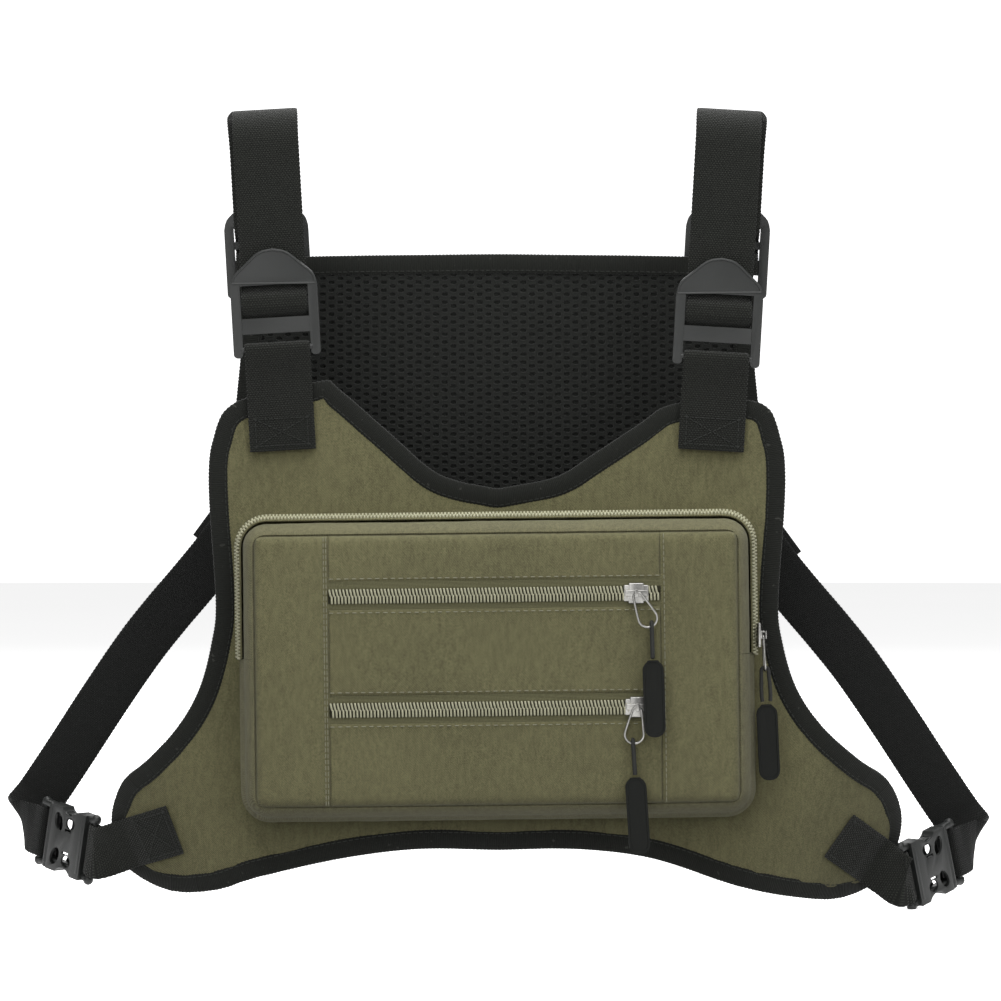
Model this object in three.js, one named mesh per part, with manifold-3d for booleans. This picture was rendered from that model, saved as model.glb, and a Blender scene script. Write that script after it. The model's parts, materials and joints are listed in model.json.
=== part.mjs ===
// Chest harness vest: a bound front panel with a zipped box pocket, a spacer-mesh back panel, two
// shoulder straps with ladder locks and two side straps with side-release buckles.
// Millimetres. +X is to the right seen from the front, +Y runs to the wearer's back, +Z is up.
// The origin is midway between the shoulder loops, at the height where they rest on the shoulders.
import * as THREE from "three";
import { mergeVertices } from "three/addons/utils/BufferGeometryUtils.js";
import Module from "manifold-3d";

const wasm = await Module();
wasm.setup();

// ---------------------------------------------------------------- driving dimensions

const clearance = 0.3;

const shoulderWebbing = { width: 38, thickness: 1.6 };
const sideWebbing = { width: 30, thickness: 1.5 };

const binding = { width: 11.5, wall: 0.9 };
const layers = { lining: 1, foam: 2, shell: 1.2 };

const pocket = {
  width: 296,
  height: 175,
  depth: 41,
  rearDepth: 15,
  wall: 1.8,
  corner: 17,
  faceInset: 10.5,
  faceCorner: 6,
  tilt: -0.7,
  sideMargin: 7.5,
  zipEndAboveCentre: 7,
};
const mainZip = { halfWidth: 3.2, tape: 1.6, bead: 1.4, beadWidth: 1.2 };
const faceZip = {
  length: 186,
  offset: -1,
  halfWidth: 8,
  tape: 1.1,
  bead: 2.1,
  beadHalfWidth: 4.2,
  upperAboveCentre: 42.4,
  lowerBelowCentre: 22.2,
};
const bag = { width: 200, thickness: 1.2, overlap: 11, lowerHeight: 48 };
const wingStrapRise = 0.4;

const strapDrop = 170; // shoulder rest to the top of the bib
const bibHeight = 65.5; // top of the bib to the top of the pocket
const hemDrop = 19; // bottom of the pocket to the hem
const neckDepth = 50;
const neckHalfWidth = 103;
const wingBend = 85; // radius that the wings curl back on
const wingBendMargin = 3;

const torsoGap = 62; // front panel's lining to the back panel
const backPanel = {
  top: -82,
  height: 218,
  topHalf: 149,
  bottomHalf: 167,
  corner: 20,
  crown: 2,
  thickness: 5,
};

const shoulder = { halfSpacing: 135, lean: 3.3, bendRadius: 22, backSplay: 7, backLockDrop: 100 };
const lock = {
  rail: 5.6,
  depth: 4.2,
  barDepth: 3,
  pivotRadius: 2,
  footDrop: 4.5,
  footWidth: 4,
  loopSlot: 7,
  middleBar: 9,
  lowerSlot: 6.5,
  gripBar: 4.5,
  upperSlot: 8,
  tabHeight: 21,
  tabHalfWidth: 22.5,
  sideClearance: 0.6,
  setBack: 0.6,
};
const strapAnchor = { length: 38, thickness: 1.4, margin: 3 };
const shortStrap = { frontStandOff: 2.1, backStandOff: 4.9, converge: 16, backFoot: 50 };

const slider = {
  length: 14.2,
  width: 11.6,
  plate: 1.8,
  lugLength: 1.4,
  lugHeight: 3.6,
  lugHalf: 2.45,
  lugWall: 0.8,
};
const pullRing = { wire: 1.3, topRadius: 3.4, bottomRadius: 6, length: 22 };
const pullCord = { diameter: 1.8, drop: 19 };
const pullTag = { width: 12, length: 43.5, thickness: 3, neck: 7 };
const sliderFromEnd = 12.5;
const mainSliderAboveEnd = 10;

const buckle = {
  length: 48.3,
  rail: 4,
  thickness: 9,
  wall: 1.5,
  sideWall: 2.4,
  barRadius: 2,
  slot: 4.7,
  mouthFlange: 3,
  insertSlot: 5,
};
const prong = { length: 18, root: 2.5, pad: 3.8, padLength: 11, halfDepth: 2.6, inset: 0.3 };
const tongue = { length: 20, halfWidth: 2, halfDepth: 2 };

// What differs between the two sides, as the vest hangs: outward and upward distances from the
// panel's own reference lines.
const sides = {
  left: {
    sign: -1,
    tabRise: 12,
    neck: [[92, 8], [62, -18], [33, -42]],
    wingReach: 59,
    wingDrop: 26,
    lockDrop: 139.5,
    strapFoot: 198.5,
    patch: { in: 39, aboveHem: 11.5 },
    buckle: { out: 28, back: 44, aboveHem: 1.5, yaw: 42, rise: 11.6 },
    anchor: { in: 20, aboveBottom: 70 },
  },
  right: {
    sign: 1,
    tabRise: -1,
    neck: [[82, -13], [56, -30], [33.5, -43.5]],
    wingReach: 71,
    wingDrop: 31,
    lockDrop: 145,
    strapFoot: 198.5,
    patch: { in: 39, aboveHem: 7.5 },
    buckle: { out: 18, back: 41, aboveHem: -12.5, yaw: 42, rise: 15.9 },
    anchor: { in: 20, aboveBottom: 60 },
  },
};

// ---------------------------------------------------------------- finishes

const finish = (color, roughness, metalness = 0) => ({ color, roughness, metalness });
const finishes = {
  twill: finish(0x6b684d, 0.9),
  lining: finish(0x3a3d38, 0.95),
  foam: finish(0x9a9a90, 1),
  binding: finish(0x1f221d, 0.85),
  webbing: finish(0x252823, 0.8),
  mesh: finish(0x22251f, 0.75),
  plastic: finish(0x3a3c3a, 0.45),
  zipTape: finish(0x6a6850, 0.8),
  metal: finish(0xb8b8b4, 0.3, 1),
  rubber: finish(0x262723, 0.6),
  cord: finish(0x1a1b19, 0.8),
};

// ---------------------------------------------------------------- solids and joins

const group = new THREE.Group();

/** The manifold solid of a closed three.js geometry. */
function solidOf(geometry) {
  const bare = geometry.clone();
  bare.deleteAttribute("normal");
  bare.deleteAttribute("uv");
  const merged = mergeVertices(bare, 1e-4);
  return new wasm.Manifold(
    new wasm.Mesh({
      numProp: 3,
      vertProperties: new Float32Array(merged.attributes.position.array),
      triVerts: new Uint32Array(merged.index.array),
    }),
  );
}

/** The three.js geometry of a manifold solid. */
function geometryOf(solid) {
  const mesh = solid.getMesh();
  const positions = new Float32Array(mesh.numVert * 3);
  for (let i = 0; i < mesh.numVert; i++) {
    positions.set(mesh.vertProperties.subarray(i * mesh.numProp, i * mesh.numProp + 3), i * 3);
  }
  const geometry = new THREE.BufferGeometry();
  geometry.setAttribute("position", new THREE.BufferAttribute(positions, 3));
  geometry.setIndex(new THREE.BufferAttribute(new Uint32Array(mesh.triVerts), 1));
  geometry.computeVertexNormals();
  return geometry;
}

/** Adds a piece to the vest under its own name. */
function addPiece(name, shape, look, parent = group) {
  const geometry = shape.isBufferGeometry ? shape : geometryOf(shape);
  const mesh = new THREE.Mesh(geometry, new THREE.MeshStandardMaterial(look));
  mesh.name = name;
  parent.add(mesh);
}

/** A box between two corners. */
function box([x0, y0, z0], [x1, y1, z1]) {
  const geometry = new THREE.BoxGeometry(x1 - x0, y1 - y0, z1 - z0);
  return solidOf(geometry.translate((x0 + x1) / 2, (y0 + y1) / 2, (z0 + z1) / 2));
}

/** An outline of [x, z] points, with any holes, extruded from y0 to y1. */
function prism(outline, y0, y1, holes = []) {
  const vectors = (points) => points.map(([x, z]) => new THREE.Vector2(x, z));
  const shape = new THREE.Shape(vectors(outline));
  shape.holes = holes.map((hole) => new THREE.Path(vectors(hole)));
  const geometry = new THREE.ExtrudeGeometry(shape, { depth: y1 - y0, bevelEnabled: false });
  return solidOf(geometry.rotateX(Math.PI / 2).translate(0, y1, 0));
}

/** A solid through rings of equal point count, each { y, points }, from front to back. */
function loft(rings) {
  const count = rings[0].points.length;
  const positions = [];
  const index = [];
  rings.forEach(({ y, points }) => points.forEach(([x, z]) => positions.push(x, y, z)));
  for (let r = 0; r < rings.length - 1; r++) {
    for (let i = 0; i < count; i++) {
      const a = r * count + i;
      const b = r * count + ((i + 1) % count);
      index.push(a, b, a + count, b, b + count, a + count);
    }
  }
  const last = (rings.length - 1) * count;
  for (let i = 1; i < count - 1; i++) {
    index.push(0, i + 1, i, last, last + i, last + i + 1);
  }
  const geometry = new THREE.BufferGeometry();
  geometry.setAttribute("position", new THREE.Float32BufferAttribute(positions, 3));
  geometry.setIndex(index);
  const solid = solidOf(geometry);
  if (solid.volume() > 0) return solid;
  geometry.setIndex(index.map((_, i) => index[3 * Math.floor(i / 3) + (2 - (i % 3))]));
  return solidOf(geometry);
}

/** A rounded rectangle of [x, z] points about a centre. */
function roundedRectangle(centreX, centreZ, width, height, radius, steps = 4) {
  const points = [];
  const corners = [[1, 1, 0], [-1, 1, 90], [-1, -1, 180], [1, -1, 270]];
  for (const [sx, sz, start] of corners) {
    const cx = centreX + sx * (width / 2 - radius);
    const cz = centreZ + sz * (height / 2 - radius);
    for (let i = 0; i <= steps; i++) {
      const angle = THREE.MathUtils.degToRad(start + (90 * i) / steps);
      points.push([cx + radius * Math.cos(angle), cz + radius * Math.sin(angle)]);
    }
  }
  return points;
}

/** A smooth run of [x, z] points through the given ones. */
function smooth(points, perSpan) {
  const curve = new THREE.SplineCurve(points.map(([x, z]) => new THREE.Vector2(x, z)));
  return curve.getPoints((points.length - 1) * perSpan).map((p) => [p.x, p.y]);
}

/** The outline moved inwards by a distance, with the points that would fold over left out. */
function inset(outline, distance) {
  const count = outline.length;
  const area = outline.reduce((sum, [x, z], i) => {
    const [nx, nz] = outline[(i + 1) % count];
    return sum + x * nz - nx * z;
  }, 0);
  const inward = area > 0 ? 1 : -1;
  const moved = outline.map(([x, z], i) => {
    const [px, pz] = outline[(i + count - 1) % count];
    const [nx, nz] = outline[(i + 1) % count];
    const before = new THREE.Vector2(x - px, z - pz).normalize();
    const after = new THREE.Vector2(nx - x, nz - z).normalize();
    const normal = new THREE.Vector2(-(before.y + after.y), before.x + after.x).normalize();
    const stretch = 1 / Math.max(0.6, Math.cos(before.angleTo(after) / 2));
    return [x + normal.x * inward * distance * stretch, z + normal.y * inward * distance * stretch];
  });
  const segmentDistance = ([x, z], [ax, az], [bx, bz]) => {
    const along = new THREE.Vector2(bx - ax, bz - az);
    const to = new THREE.Vector2(x - ax, z - az);
    const share = THREE.MathUtils.clamp(to.dot(along) / along.lengthSq(), 0, 1);
    return to.sub(along.multiplyScalar(share)).length();
  };
  return moved.filter((point) =>
    outline.every((a, i) => segmentDistance(point, a, outline[(i + 1) % count]) > distance * 0.97),
  );
}

/** A flat strap along stations { at, across }, as one closed solid with square ends. */
function ribbon(stations, { width, thickness }, perSpan = 2) {
  const centre = new THREE.CatmullRomCurve3(stations.map((s) => s.at), false, "centripetal");
  const steps = (stations.length - 1) * perSpan;
  const positions = [];
  const index = [];
  for (let i = 0; i <= steps; i++) {
    const t = i / steps;
    const at = centre.getPoint(t);
    const tangent = centre.getTangent(t);
    const span = Math.min(stations.length - 2, Math.floor(t * (stations.length - 1)));
    const share = t * (stations.length - 1) - span;
    const wide = stations[span].across.clone().lerp(stations[span + 1].across, share);
    wide.addScaledVector(tangent, -wide.dot(tangent)).normalize();
    const normal = new THREE.Vector3().crossVectors(tangent, wide);
    for (const [w, n] of [[-1, -1], [1, -1], [1, 1], [-1, 1]]) {
      const corner = at
        .clone()
        .addScaledVector(wide, (w * width) / 2)
        .addScaledVector(normal, (n * thickness) / 2);
      positions.push(corner.x, corner.y, corner.z);
    }
    if (i < steps) {
      for (let k = 0; k < 4; k++) {
        const a = 4 * i + k;
        const b = 4 * i + ((k + 1) % 4);
        index.push(a, b, a + 4, b, b + 4, a + 4);
      }
    }
  }
  const end = 4 * steps;
  index.push(0, 2, 1, 0, 3, 2, end, end + 1, end + 2, end, end + 2, end + 3);
  const geometry = new THREE.BufferGeometry();
  geometry.setAttribute("position", new THREE.Float32BufferAttribute(positions, 3));
  geometry.setIndex(index);
  const solid = solidOf(geometry);
  if (solid.volume() > 0) return solid;
  geometry.setIndex(index.map((_, i) => index[3 * Math.floor(i / 3) + (2 - (i % 3))]));
  return solidOf(geometry);
}

// ---------------------------------------------------------------- reference lines

const bibTop = -strapDrop;
const pocketTop = bibTop - bibHeight;
const pocketBottom = pocketTop - pocket.height;
const pocketCentre = (pocketTop + pocketBottom) / 2;
const hem = pocketBottom - hemDrop;
const waist = pocket.width / 2 + pocket.sideMargin + binding.width;
const panelThickness = layers.lining + layers.foam + layers.shell + 2 * clearance;
const bindingFront = -panelThickness - clearance - binding.wall;
const backPanelY = torsoGap;
const far = 900;

// ---------------------------------------------------------------- front panel

/** One side of the front panel's outline, from the neckline to the middle of the hem. */
function frontEdge({ tabRise, neck, wingReach, wingDrop }) {
  const tip = waist + wingReach;
  return [
    ...neck.map(([x, dz]) => [x, bibTop + dz]).reverse(),
    [neckHalfWidth, bibTop + tabRise],
    [waist - 16, bibTop],
    [waist - 3, bibTop - 20],
    [waist, bibTop - 50],
    [waist - 4, hem + 146],
    [waist - 2, hem + 122],
    [waist + 0.09 * wingReach, hem + 94],
    [waist + 0.31 * wingReach, hem + 71],
    [waist + 0.63 * wingReach, hem + 51],
    [waist + 0.87 * wingReach, hem + 39],
    [tip, hem + 20],
    [tip - 1, hem],
    [tip - 10, hem - wingDrop + 11],
    [tip - 35, hem - wingDrop],
    [tip - 63, hem - wingDrop + 2],
    [waist - 28, hem - wingDrop + 10],
    [0.54 * waist, hem - 5],
    [0.27 * waist, hem + 0.5],
  ];
}

const leftEdge = frontEdge(sides.left).map(([x, z]) => [-x, z]);
const rightEdge = frontEdge(sides.right);
const neckMiddle = [0, bibTop - neckDepth];
const frontOutline = smooth(
  [neckMiddle, ...rightEdge, [0, hem], ...leftEdge.reverse(), neckMiddle],
  3,
).slice(0, -1);

const bendAcross = Math.cos(THREE.MathUtils.degToRad(32));
const bendDown = Math.sin(THREE.MathUtils.degToRad(32));
const bendStart =
  (pocket.width / 2) * bendAcross - pocketBottom * bendDown + wingBendMargin;

/** How far back the front panel has curled at a place. */
function curl(x, z) {
  const past = Math.abs(x) * bendAcross - z * bendDown - bendStart;
  return past > 0 ? (past * past) / (2 * wingBend) : 0;
}

/** Everything between two depths of the front panel, its curled wings included. */
function panelSlab(front, back) {
  const stops = [-far, 0, 14, 28, 42, 56, 70, 90];
  const depth = (s) => (s > 0 ? (s * s) / (2 * wingBend) : 0);
  const profile = [
    ...stops.map((s) => [s, front + depth(s)]),
    ...stops.map((s) => [s, back + depth(s)]).reverse(),
  ];
  const halves = [-1, 1].map((sign) => {
    const shape = new THREE.Shape(
      profile.map(([s, y]) => new THREE.Vector2(s + bendStart, y)),
    );
    const geometry = new THREE.ExtrudeGeometry(shape, { depth: 2 * far, bevelEnabled: false });
    geometry.translate(0, 0, -far);
    const out = new THREE.Vector3(sign * bendAcross, 0, -bendDown);
    const back = new THREE.Vector3(0, 1, 0);
    geometry.applyMatrix4(
      new THREE.Matrix4().makeBasis(out, back, new THREE.Vector3().crossVectors(out, back)),
    );
    const inner = sign > 0 ? 0 : -far;
    return solidOf(geometry).intersect(box([inner, -far, -far], [inner + far, far, far]));
  });
  return halves[0].add(halves[1]);
}

/** A layer of the front panel between two depths, its edge kept in from the outline. */
function panelLayer(edge, front, back) {
  return prism(inset(frontOutline, edge), -far, far).intersect(panelSlab(front, back));
}

const layerEdge = binding.wall + clearance;
let depthSoFar = 0;
for (const [name, key, look] of [
  ["front_panel_lining", "lining", finishes.lining],
  ["front_panel_foam", "foam", finishes.foam],
  ["front_panel_shell", "shell", finishes.twill],
]) {
  const back = -depthSoFar;
  addPiece(name, panelLayer(layerEdge, back - layers[key], back), look);
  depthSoFar += layers[key] + clearance;
}

const bindingBody = prism(frontOutline, -far, far)
  .intersect(panelSlab(bindingFront, clearance + binding.wall))
  .subtract(prism(inset(frontOutline, binding.width), -far, far))
  .subtract(panelLayer(binding.wall, -panelThickness - clearance, clearance));
addPiece("front_panel_binding", bindingBody, finishes.binding);

// ---------------------------------------------------------------- back panel

const backBottom = backPanel.top - backPanel.height;
const backOutline = smooth(
  [
    [0, backPanel.top + backPanel.crown],
    [backPanel.topHalf - backPanel.corner, backPanel.top],
    [backPanel.topHalf - 3, backPanel.top - 6],
    [backPanel.topHalf, backPanel.top - backPanel.corner],
    [(backPanel.topHalf + backPanel.bottomHalf) / 2, (backPanel.top + backBottom) / 2],
    [backPanel.bottomHalf, backBottom + backPanel.corner],
    [backPanel.bottomHalf - 4, backBottom + 5],
    [backPanel.bottomHalf - backPanel.corner, backBottom],
    [0, backBottom],
  ],
  3,
);
const backRing = [
  ...backOutline,
  ...backOutline.slice(1, -1).reverse().map(([x, z]) => [-x, z]),
];
const backFace = backPanelY + backPanel.thickness;
addPiece(
  "back_panel_mesh",
  prism(inset(backRing, layerEdge), backPanelY, backFace),
  finishes.mesh,
);
const backBindingBody = prism(
  backRing,
  backPanelY - clearance - binding.wall,
  backFace + clearance + binding.wall,
  [inset(backRing, binding.width).reverse()],
).subtract(prism(inset(backRing, binding.wall), backPanelY - clearance, backFace + clearance));
addPiece("back_panel_binding", backBindingBody, finishes.binding);

// ---------------------------------------------------------------- pocket

const pocketGroup = new THREE.Group();
pocketGroup.position.set(0, 0, pocketCentre);
pocketGroup.rotation.y = THREE.MathUtils.degToRad(pocket.tilt);
group.add(pocketGroup);

const pocketBack = -panelThickness - clearance;
const zipBack = pocketBack - pocket.rearDepth;
const zipMiddle = zipBack - mainZip.halfWidth;
const zipFront = zipMiddle - mainZip.halfWidth;
const pocketFace = pocketBack - pocket.depth;
const foldZ = pocket.zipEndAboveCentre;

/** The pocket's outline, drawn in all round by a distance. */
function pocketOutline(drawnIn, corner = pocket.corner) {
  return roundedRectangle(
    0,
    0,
    pocket.width - 2 * drawnIn,
    pocket.height - 2 * drawnIn,
    Math.max(corner - drawnIn, 2),
  );
}

const wallRing = (outer, thickness, y0, y1) =>
  prism(pocketOutline(outer), y0, y1, [pocketOutline(outer + thickness).reverse()]);
const aboveFold = box([-far, -far, foldZ + clearance / 2], [far, far, far]);
const belowFold = box([-far, -far, -far], [far, far, foldZ - clearance / 2]);

addPiece(
  "pocket_rear_gusset",
  wallRing(0, pocket.wall, zipBack + clearance, pocketBack),
  finishes.twill,
  pocketGroup,
);

/** The pocket's front shell, solid, drawn in by a wall. */
function coverBody(drawnIn) {
  const softened = pocket.faceInset * 0.35;
  return loft([
    { y: pocketFace + drawnIn, points: facePoints(pocket.faceInset + 1.5 + drawnIn) },
    { y: pocketFace + 2 + drawnIn, points: facePoints(pocket.faceInset + drawnIn) },
    { y: pocketFace + 9, points: facePoints(softened + drawnIn) },
    { y: zipFront, points: facePoints(drawnIn) },
    { y: zipBack + (drawnIn ? 1 : 0), points: facePoints(drawnIn) },
  ]);
}

/** One ring of the cover: the corner tightens towards the face. */
function facePoints(drawnIn) {
  const share = Math.min(drawnIn / pocket.faceInset, 1);
  const radius = THREE.MathUtils.lerp(pocket.corner, pocket.faceCorner, share);
  return roundedRectangle(
    0,
    0,
    pocket.width - 2 * drawnIn,
    pocket.height - 2 * drawnIn,
    radius,
  );
}

/** The window in the face that a front zip fills. */
function zipWindow(z) {
  const half = faceZip.length / 2 + clearance;
  const high = faceZip.halfWidth + clearance;
  return box(
    [faceZip.offset - half, pocketFace - 1, z - high],
    [faceZip.offset + half, pocketFace + pocket.wall + 1, z + high],
  );
}

const upperZipZ = faceZip.upperAboveCentre;
const lowerZipZ = -faceZip.lowerBelowCentre;
const coverShell = coverBody(0)
  .subtract(coverBody(pocket.wall))
  .subtract(zipWindow(upperZipZ))
  .subtract(zipWindow(lowerZipZ));
const zipZone = box([-far, zipFront - clearance, -far], [far, far, far]).intersect(aboveFold);
addPiece(
  "pocket_cover_upper",
  coverShell.intersect(aboveFold).subtract(zipZone),
  finishes.twill,
  pocketGroup,
);
addPiece("pocket_cover_lower", coverShell.intersect(belowFold), finishes.twill, pocketGroup);

/** Half of the main zip: tape in the gusset's wall, with its row of teeth standing proud. */
function mainZipHalf(y0, y1, teethAt) {
  const teeth = prism(
    pocketOutline(-mainZip.bead),
    teethAt - mainZip.beadWidth,
    teethAt,
    [pocketOutline(mainZip.tape).reverse()],
  );
  return wallRing(0, mainZip.tape, y0, y1).add(teeth).intersect(aboveFold);
}
addPiece(
  "main_zip_rear_half",
  mainZipHalf(zipMiddle + clearance / 2, zipBack, zipMiddle + clearance / 2 + mainZip.beadWidth),
  finishes.zipTape,
  pocketGroup,
);
addPiece(
  "main_zip_front_half",
  mainZipHalf(zipFront, zipMiddle - clearance / 2, zipMiddle - clearance / 2),
  finishes.zipTape,
  pocketGroup,
);

/** A front zip's two halves, and the flat bag sewn behind it. */
function faceZipPieces(name, z, bagTop, bagBottom) {
  const half = faceZip.length / 2;
  const tapeFront = pocketFace + 0.1;
  const ends = [faceZip.offset - half, faceZip.offset + half];
  for (const [place, sign] of [["top", 1], ["bottom", -1]]) {
    const near = z + (sign * clearance) / 2;
    const low = (reach) => Math.min(near, z + sign * reach);
    const high = (reach) => Math.max(near, z + sign * reach);
    const tape = box(
      [ends[0], tapeFront, low(faceZip.halfWidth)],
      [ends[1], tapeFront + faceZip.tape, high(faceZip.halfWidth)],
    );
    const teeth = box(
      [ends[0], tapeFront + faceZip.tape - faceZip.bead, low(faceZip.beadHalfWidth)],
      [ends[1], tapeFront + faceZip.tape, high(faceZip.beadHalfWidth)],
    );
    addPiece(`${name}_zip_${place}_half`, tape.add(teeth), finishes.zipTape, pocketGroup);
  }
  const bagFront = pocketFace + pocket.wall + clearance;
  const bagBody = box(
    [faceZip.offset - bag.width / 2, bagFront, bagBottom],
    [faceZip.offset + bag.width / 2, bagFront + bag.thickness, bagTop],
  );
  addPiece(`${name}_pocket_bag`, bagBody, finishes.lining, pocketGroup);
}
faceZipPieces("upper", upperZipZ, upperZipZ + bag.overlap, foldZ + 3 * clearance);
faceZipPieces("lower", lowerZipZ, lowerZipZ + bag.overlap, lowerZipZ - bag.lowerHeight);

// ---------------------------------------------------------------- sliders and pulls

/** A slider's plate, its face towards -Y, with the lug that its ring hangs in. */
function sliderBody(across, high) {
  const { plate, lugLength, lugHeight, lugHalf: half, lugWall } = slider;
  const plateBody = prism(roundedRectangle(0, 0, across, high, 3, 3), -plate, 0);
  const lugBack = -plate / 2;
  const lug = box([-lugLength / 2, -plate - lugHeight, -half], [lugLength / 2, lugBack, half]);
  const tunnel = box(
    [-lugLength, -plate - lugHeight + lugWall, -half + lugWall],
    [lugLength, lugBack + 1, half - lugWall],
  );
  return plateBody.add(lug.subtract(tunnel));
}

const lugHole = slider.lugHeight - slider.lugWall;
const hingeOut = slider.plate + lugHole / 2;

/** A drop-shaped wire outline hanging from its top wire, drawn in by a distance. */
function dropOutline(drawnIn) {
  const { wire, topRadius, bottomRadius, length } = pullRing;
  const topCentre = wire / 2 - topRadius;
  const bottomCentre = wire / 2 - length + bottomRadius;
  const arc = (centre, radius, from, to) => {
    const points = [];
    for (let i = 0; i <= 8; i++) {
      const angle = THREE.MathUtils.degToRad(THREE.MathUtils.lerp(from, to, i / 8));
      points.push([radius * Math.cos(angle), centre + radius * Math.sin(angle)]);
    }
    return points;
  };
  const slope = THREE.MathUtils.radToDeg(
    Math.asin((bottomRadius - topRadius) / (topCentre - bottomCentre)),
  );
  return [
    ...arc(topCentre, topRadius - drawnIn, slope, 180 - slope),
    ...arc(bottomCentre, bottomRadius - drawnIn, 180 - slope, 360 + slope),
  ];
}

/** The ring, cord and tag that hang from a slider, in a group that turns as the pull hangs. */
function pull(name, holder, { lean, swing, tailLean, tagTurn = 0 }) {
  const hanging = new THREE.Group();
  hanging.rotation.order = "XYZ";
  hanging.rotation.x = THREE.MathUtils.degToRad(-swing);
  holder.add(hanging);

  const half = pullRing.wire / 2;
  const ring = new THREE.Group();
  ring.rotation.y = THREE.MathUtils.degToRad(lean);
  hanging.add(ring);
  const wire = prism(dropOutline(0), -half, half, [dropOutline(pullRing.wire).reverse()]);
  addPiece(`${name}_pull_ring`, wire, finishes.metal, ring);

  const foot = new THREE.Vector3(0, 0, -(pullRing.length - pullRing.wire));
  foot.applyAxisAngle(new THREE.Vector3(0, 1, 0), ring.rotation.y);
  const tail = new THREE.Group();
  tail.position.copy(foot);
  tail.rotation.y = THREE.MathUtils.degToRad(tailLean);
  hanging.add(tail);

  const askew = THREE.MathUtils.degToRad(Math.abs(lean - tailLean));
  const inner = half / Math.cos(askew) + (pullCord.diameter / 2) * Math.tan(askew) + 1.5 * clearance;
  const outer = inner + pullCord.diameter;
  const loop = (radius, low) => {
    const points = [];
    for (let i = 0; i <= 8; i++) {
      const angle = (Math.PI * i) / 8;
      points.push([radius * Math.cos(angle), radius * Math.sin(angle)]);
    }
    return [...points, [-radius, low], [radius, low]];
  };
  const strands = prism(
    loop(outer, -pullCord.drop),
    -pullCord.diameter / 2,
    pullCord.diameter / 2,
    [loop(inner, -pullCord.drop + pullCord.diameter).reverse()],
  );
  const cord = new THREE.Group();
  cord.rotation.z = Math.PI / 2;
  tail.add(cord);
  addPiece(`${name}_pull_cord`, strands, finishes.cord, cord);

  const { width, length, thickness, neck } = pullTag;
  const top = -pullCord.drop - clearance;
  const tagBody = prism(
    roundedRectangle(0, top - length / 2, width, length, width / 2 - 0.5, 5),
    -thickness / 2 - clearance,
    thickness / 2 - clearance,
  );
  const collar = prism(
    roundedRectangle(0, top - neck / 2, neck, neck, 1, 2),
    -thickness / 2 - clearance,
    thickness / 2 - clearance,
  );
  const tag = new THREE.Group();
  tag.rotation.z = THREE.MathUtils.degToRad(tagTurn);
  tail.add(tag);
  addPiece(`${name}_pull_tag`, tagBody.add(collar), finishes.rubber, tag);
}

/** A slider with its pull, on a holder that faces it outwards from the pocket. */
function sliderAndPull(name, position, turn, plateSize, hang) {
  const holder = new THREE.Group();
  holder.position.copy(position);
  holder.rotation.z = turn;
  pocketGroup.add(holder);
  addPiece(`${name}_slider`, sliderBody(...plateSize), finishes.metal, holder);
  const hinge = new THREE.Group();
  hinge.position.set(0, -hingeOut, 0);
  holder.add(hinge);
  pull(name, hinge, hang);
}

const faceSliderX = faceZip.offset + faceZip.length / 2 - sliderFromEnd;
const faceSliderY = pocketFace + 0.1 + faceZip.tape - faceZip.bead - clearance;
const lyingPlate = [slider.length, slider.width];
sliderAndPull("upper", new THREE.Vector3(faceSliderX, faceSliderY, upperZipZ), 0, lyingPlate, {
  lean: -24,
  swing: 5.5,
  tailLean: -1,
});
sliderAndPull("lower", new THREE.Vector3(faceSliderX, faceSliderY, lowerZipZ), 0, lyingPlate, {
  lean: 8,
  swing: 0,
  tailLean: -3,
});
const mainSliderX = pocket.width / 2 + mainZip.bead + clearance;
sliderAndPull(
  "main",
  new THREE.Vector3(mainSliderX, zipMiddle, foldZ + mainSliderAboveEnd),
  Math.PI / 2,
  [...lyingPlate].reverse(),
  { lean: 4, swing: 2, tailLean: 0, tagTurn: 90 },
);

// ---------------------------------------------------------------- shoulder straps

const lay = shoulderWebbing.thickness / 2 + clearance;
const loopTop = lock.pivotRadius + lock.loopSlot;
const gripFoot = loopTop + lock.middleBar + lock.lowerSlot;
const gripTop = gripFoot + lock.gripBar;
const tabFoot = gripTop + lock.upperSlot;
const lockInnerHalf = shoulderWebbing.width / 2 + lock.sideClearance;
const strandY = lock.setBack + lock.depth / 2 + lay;

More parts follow.
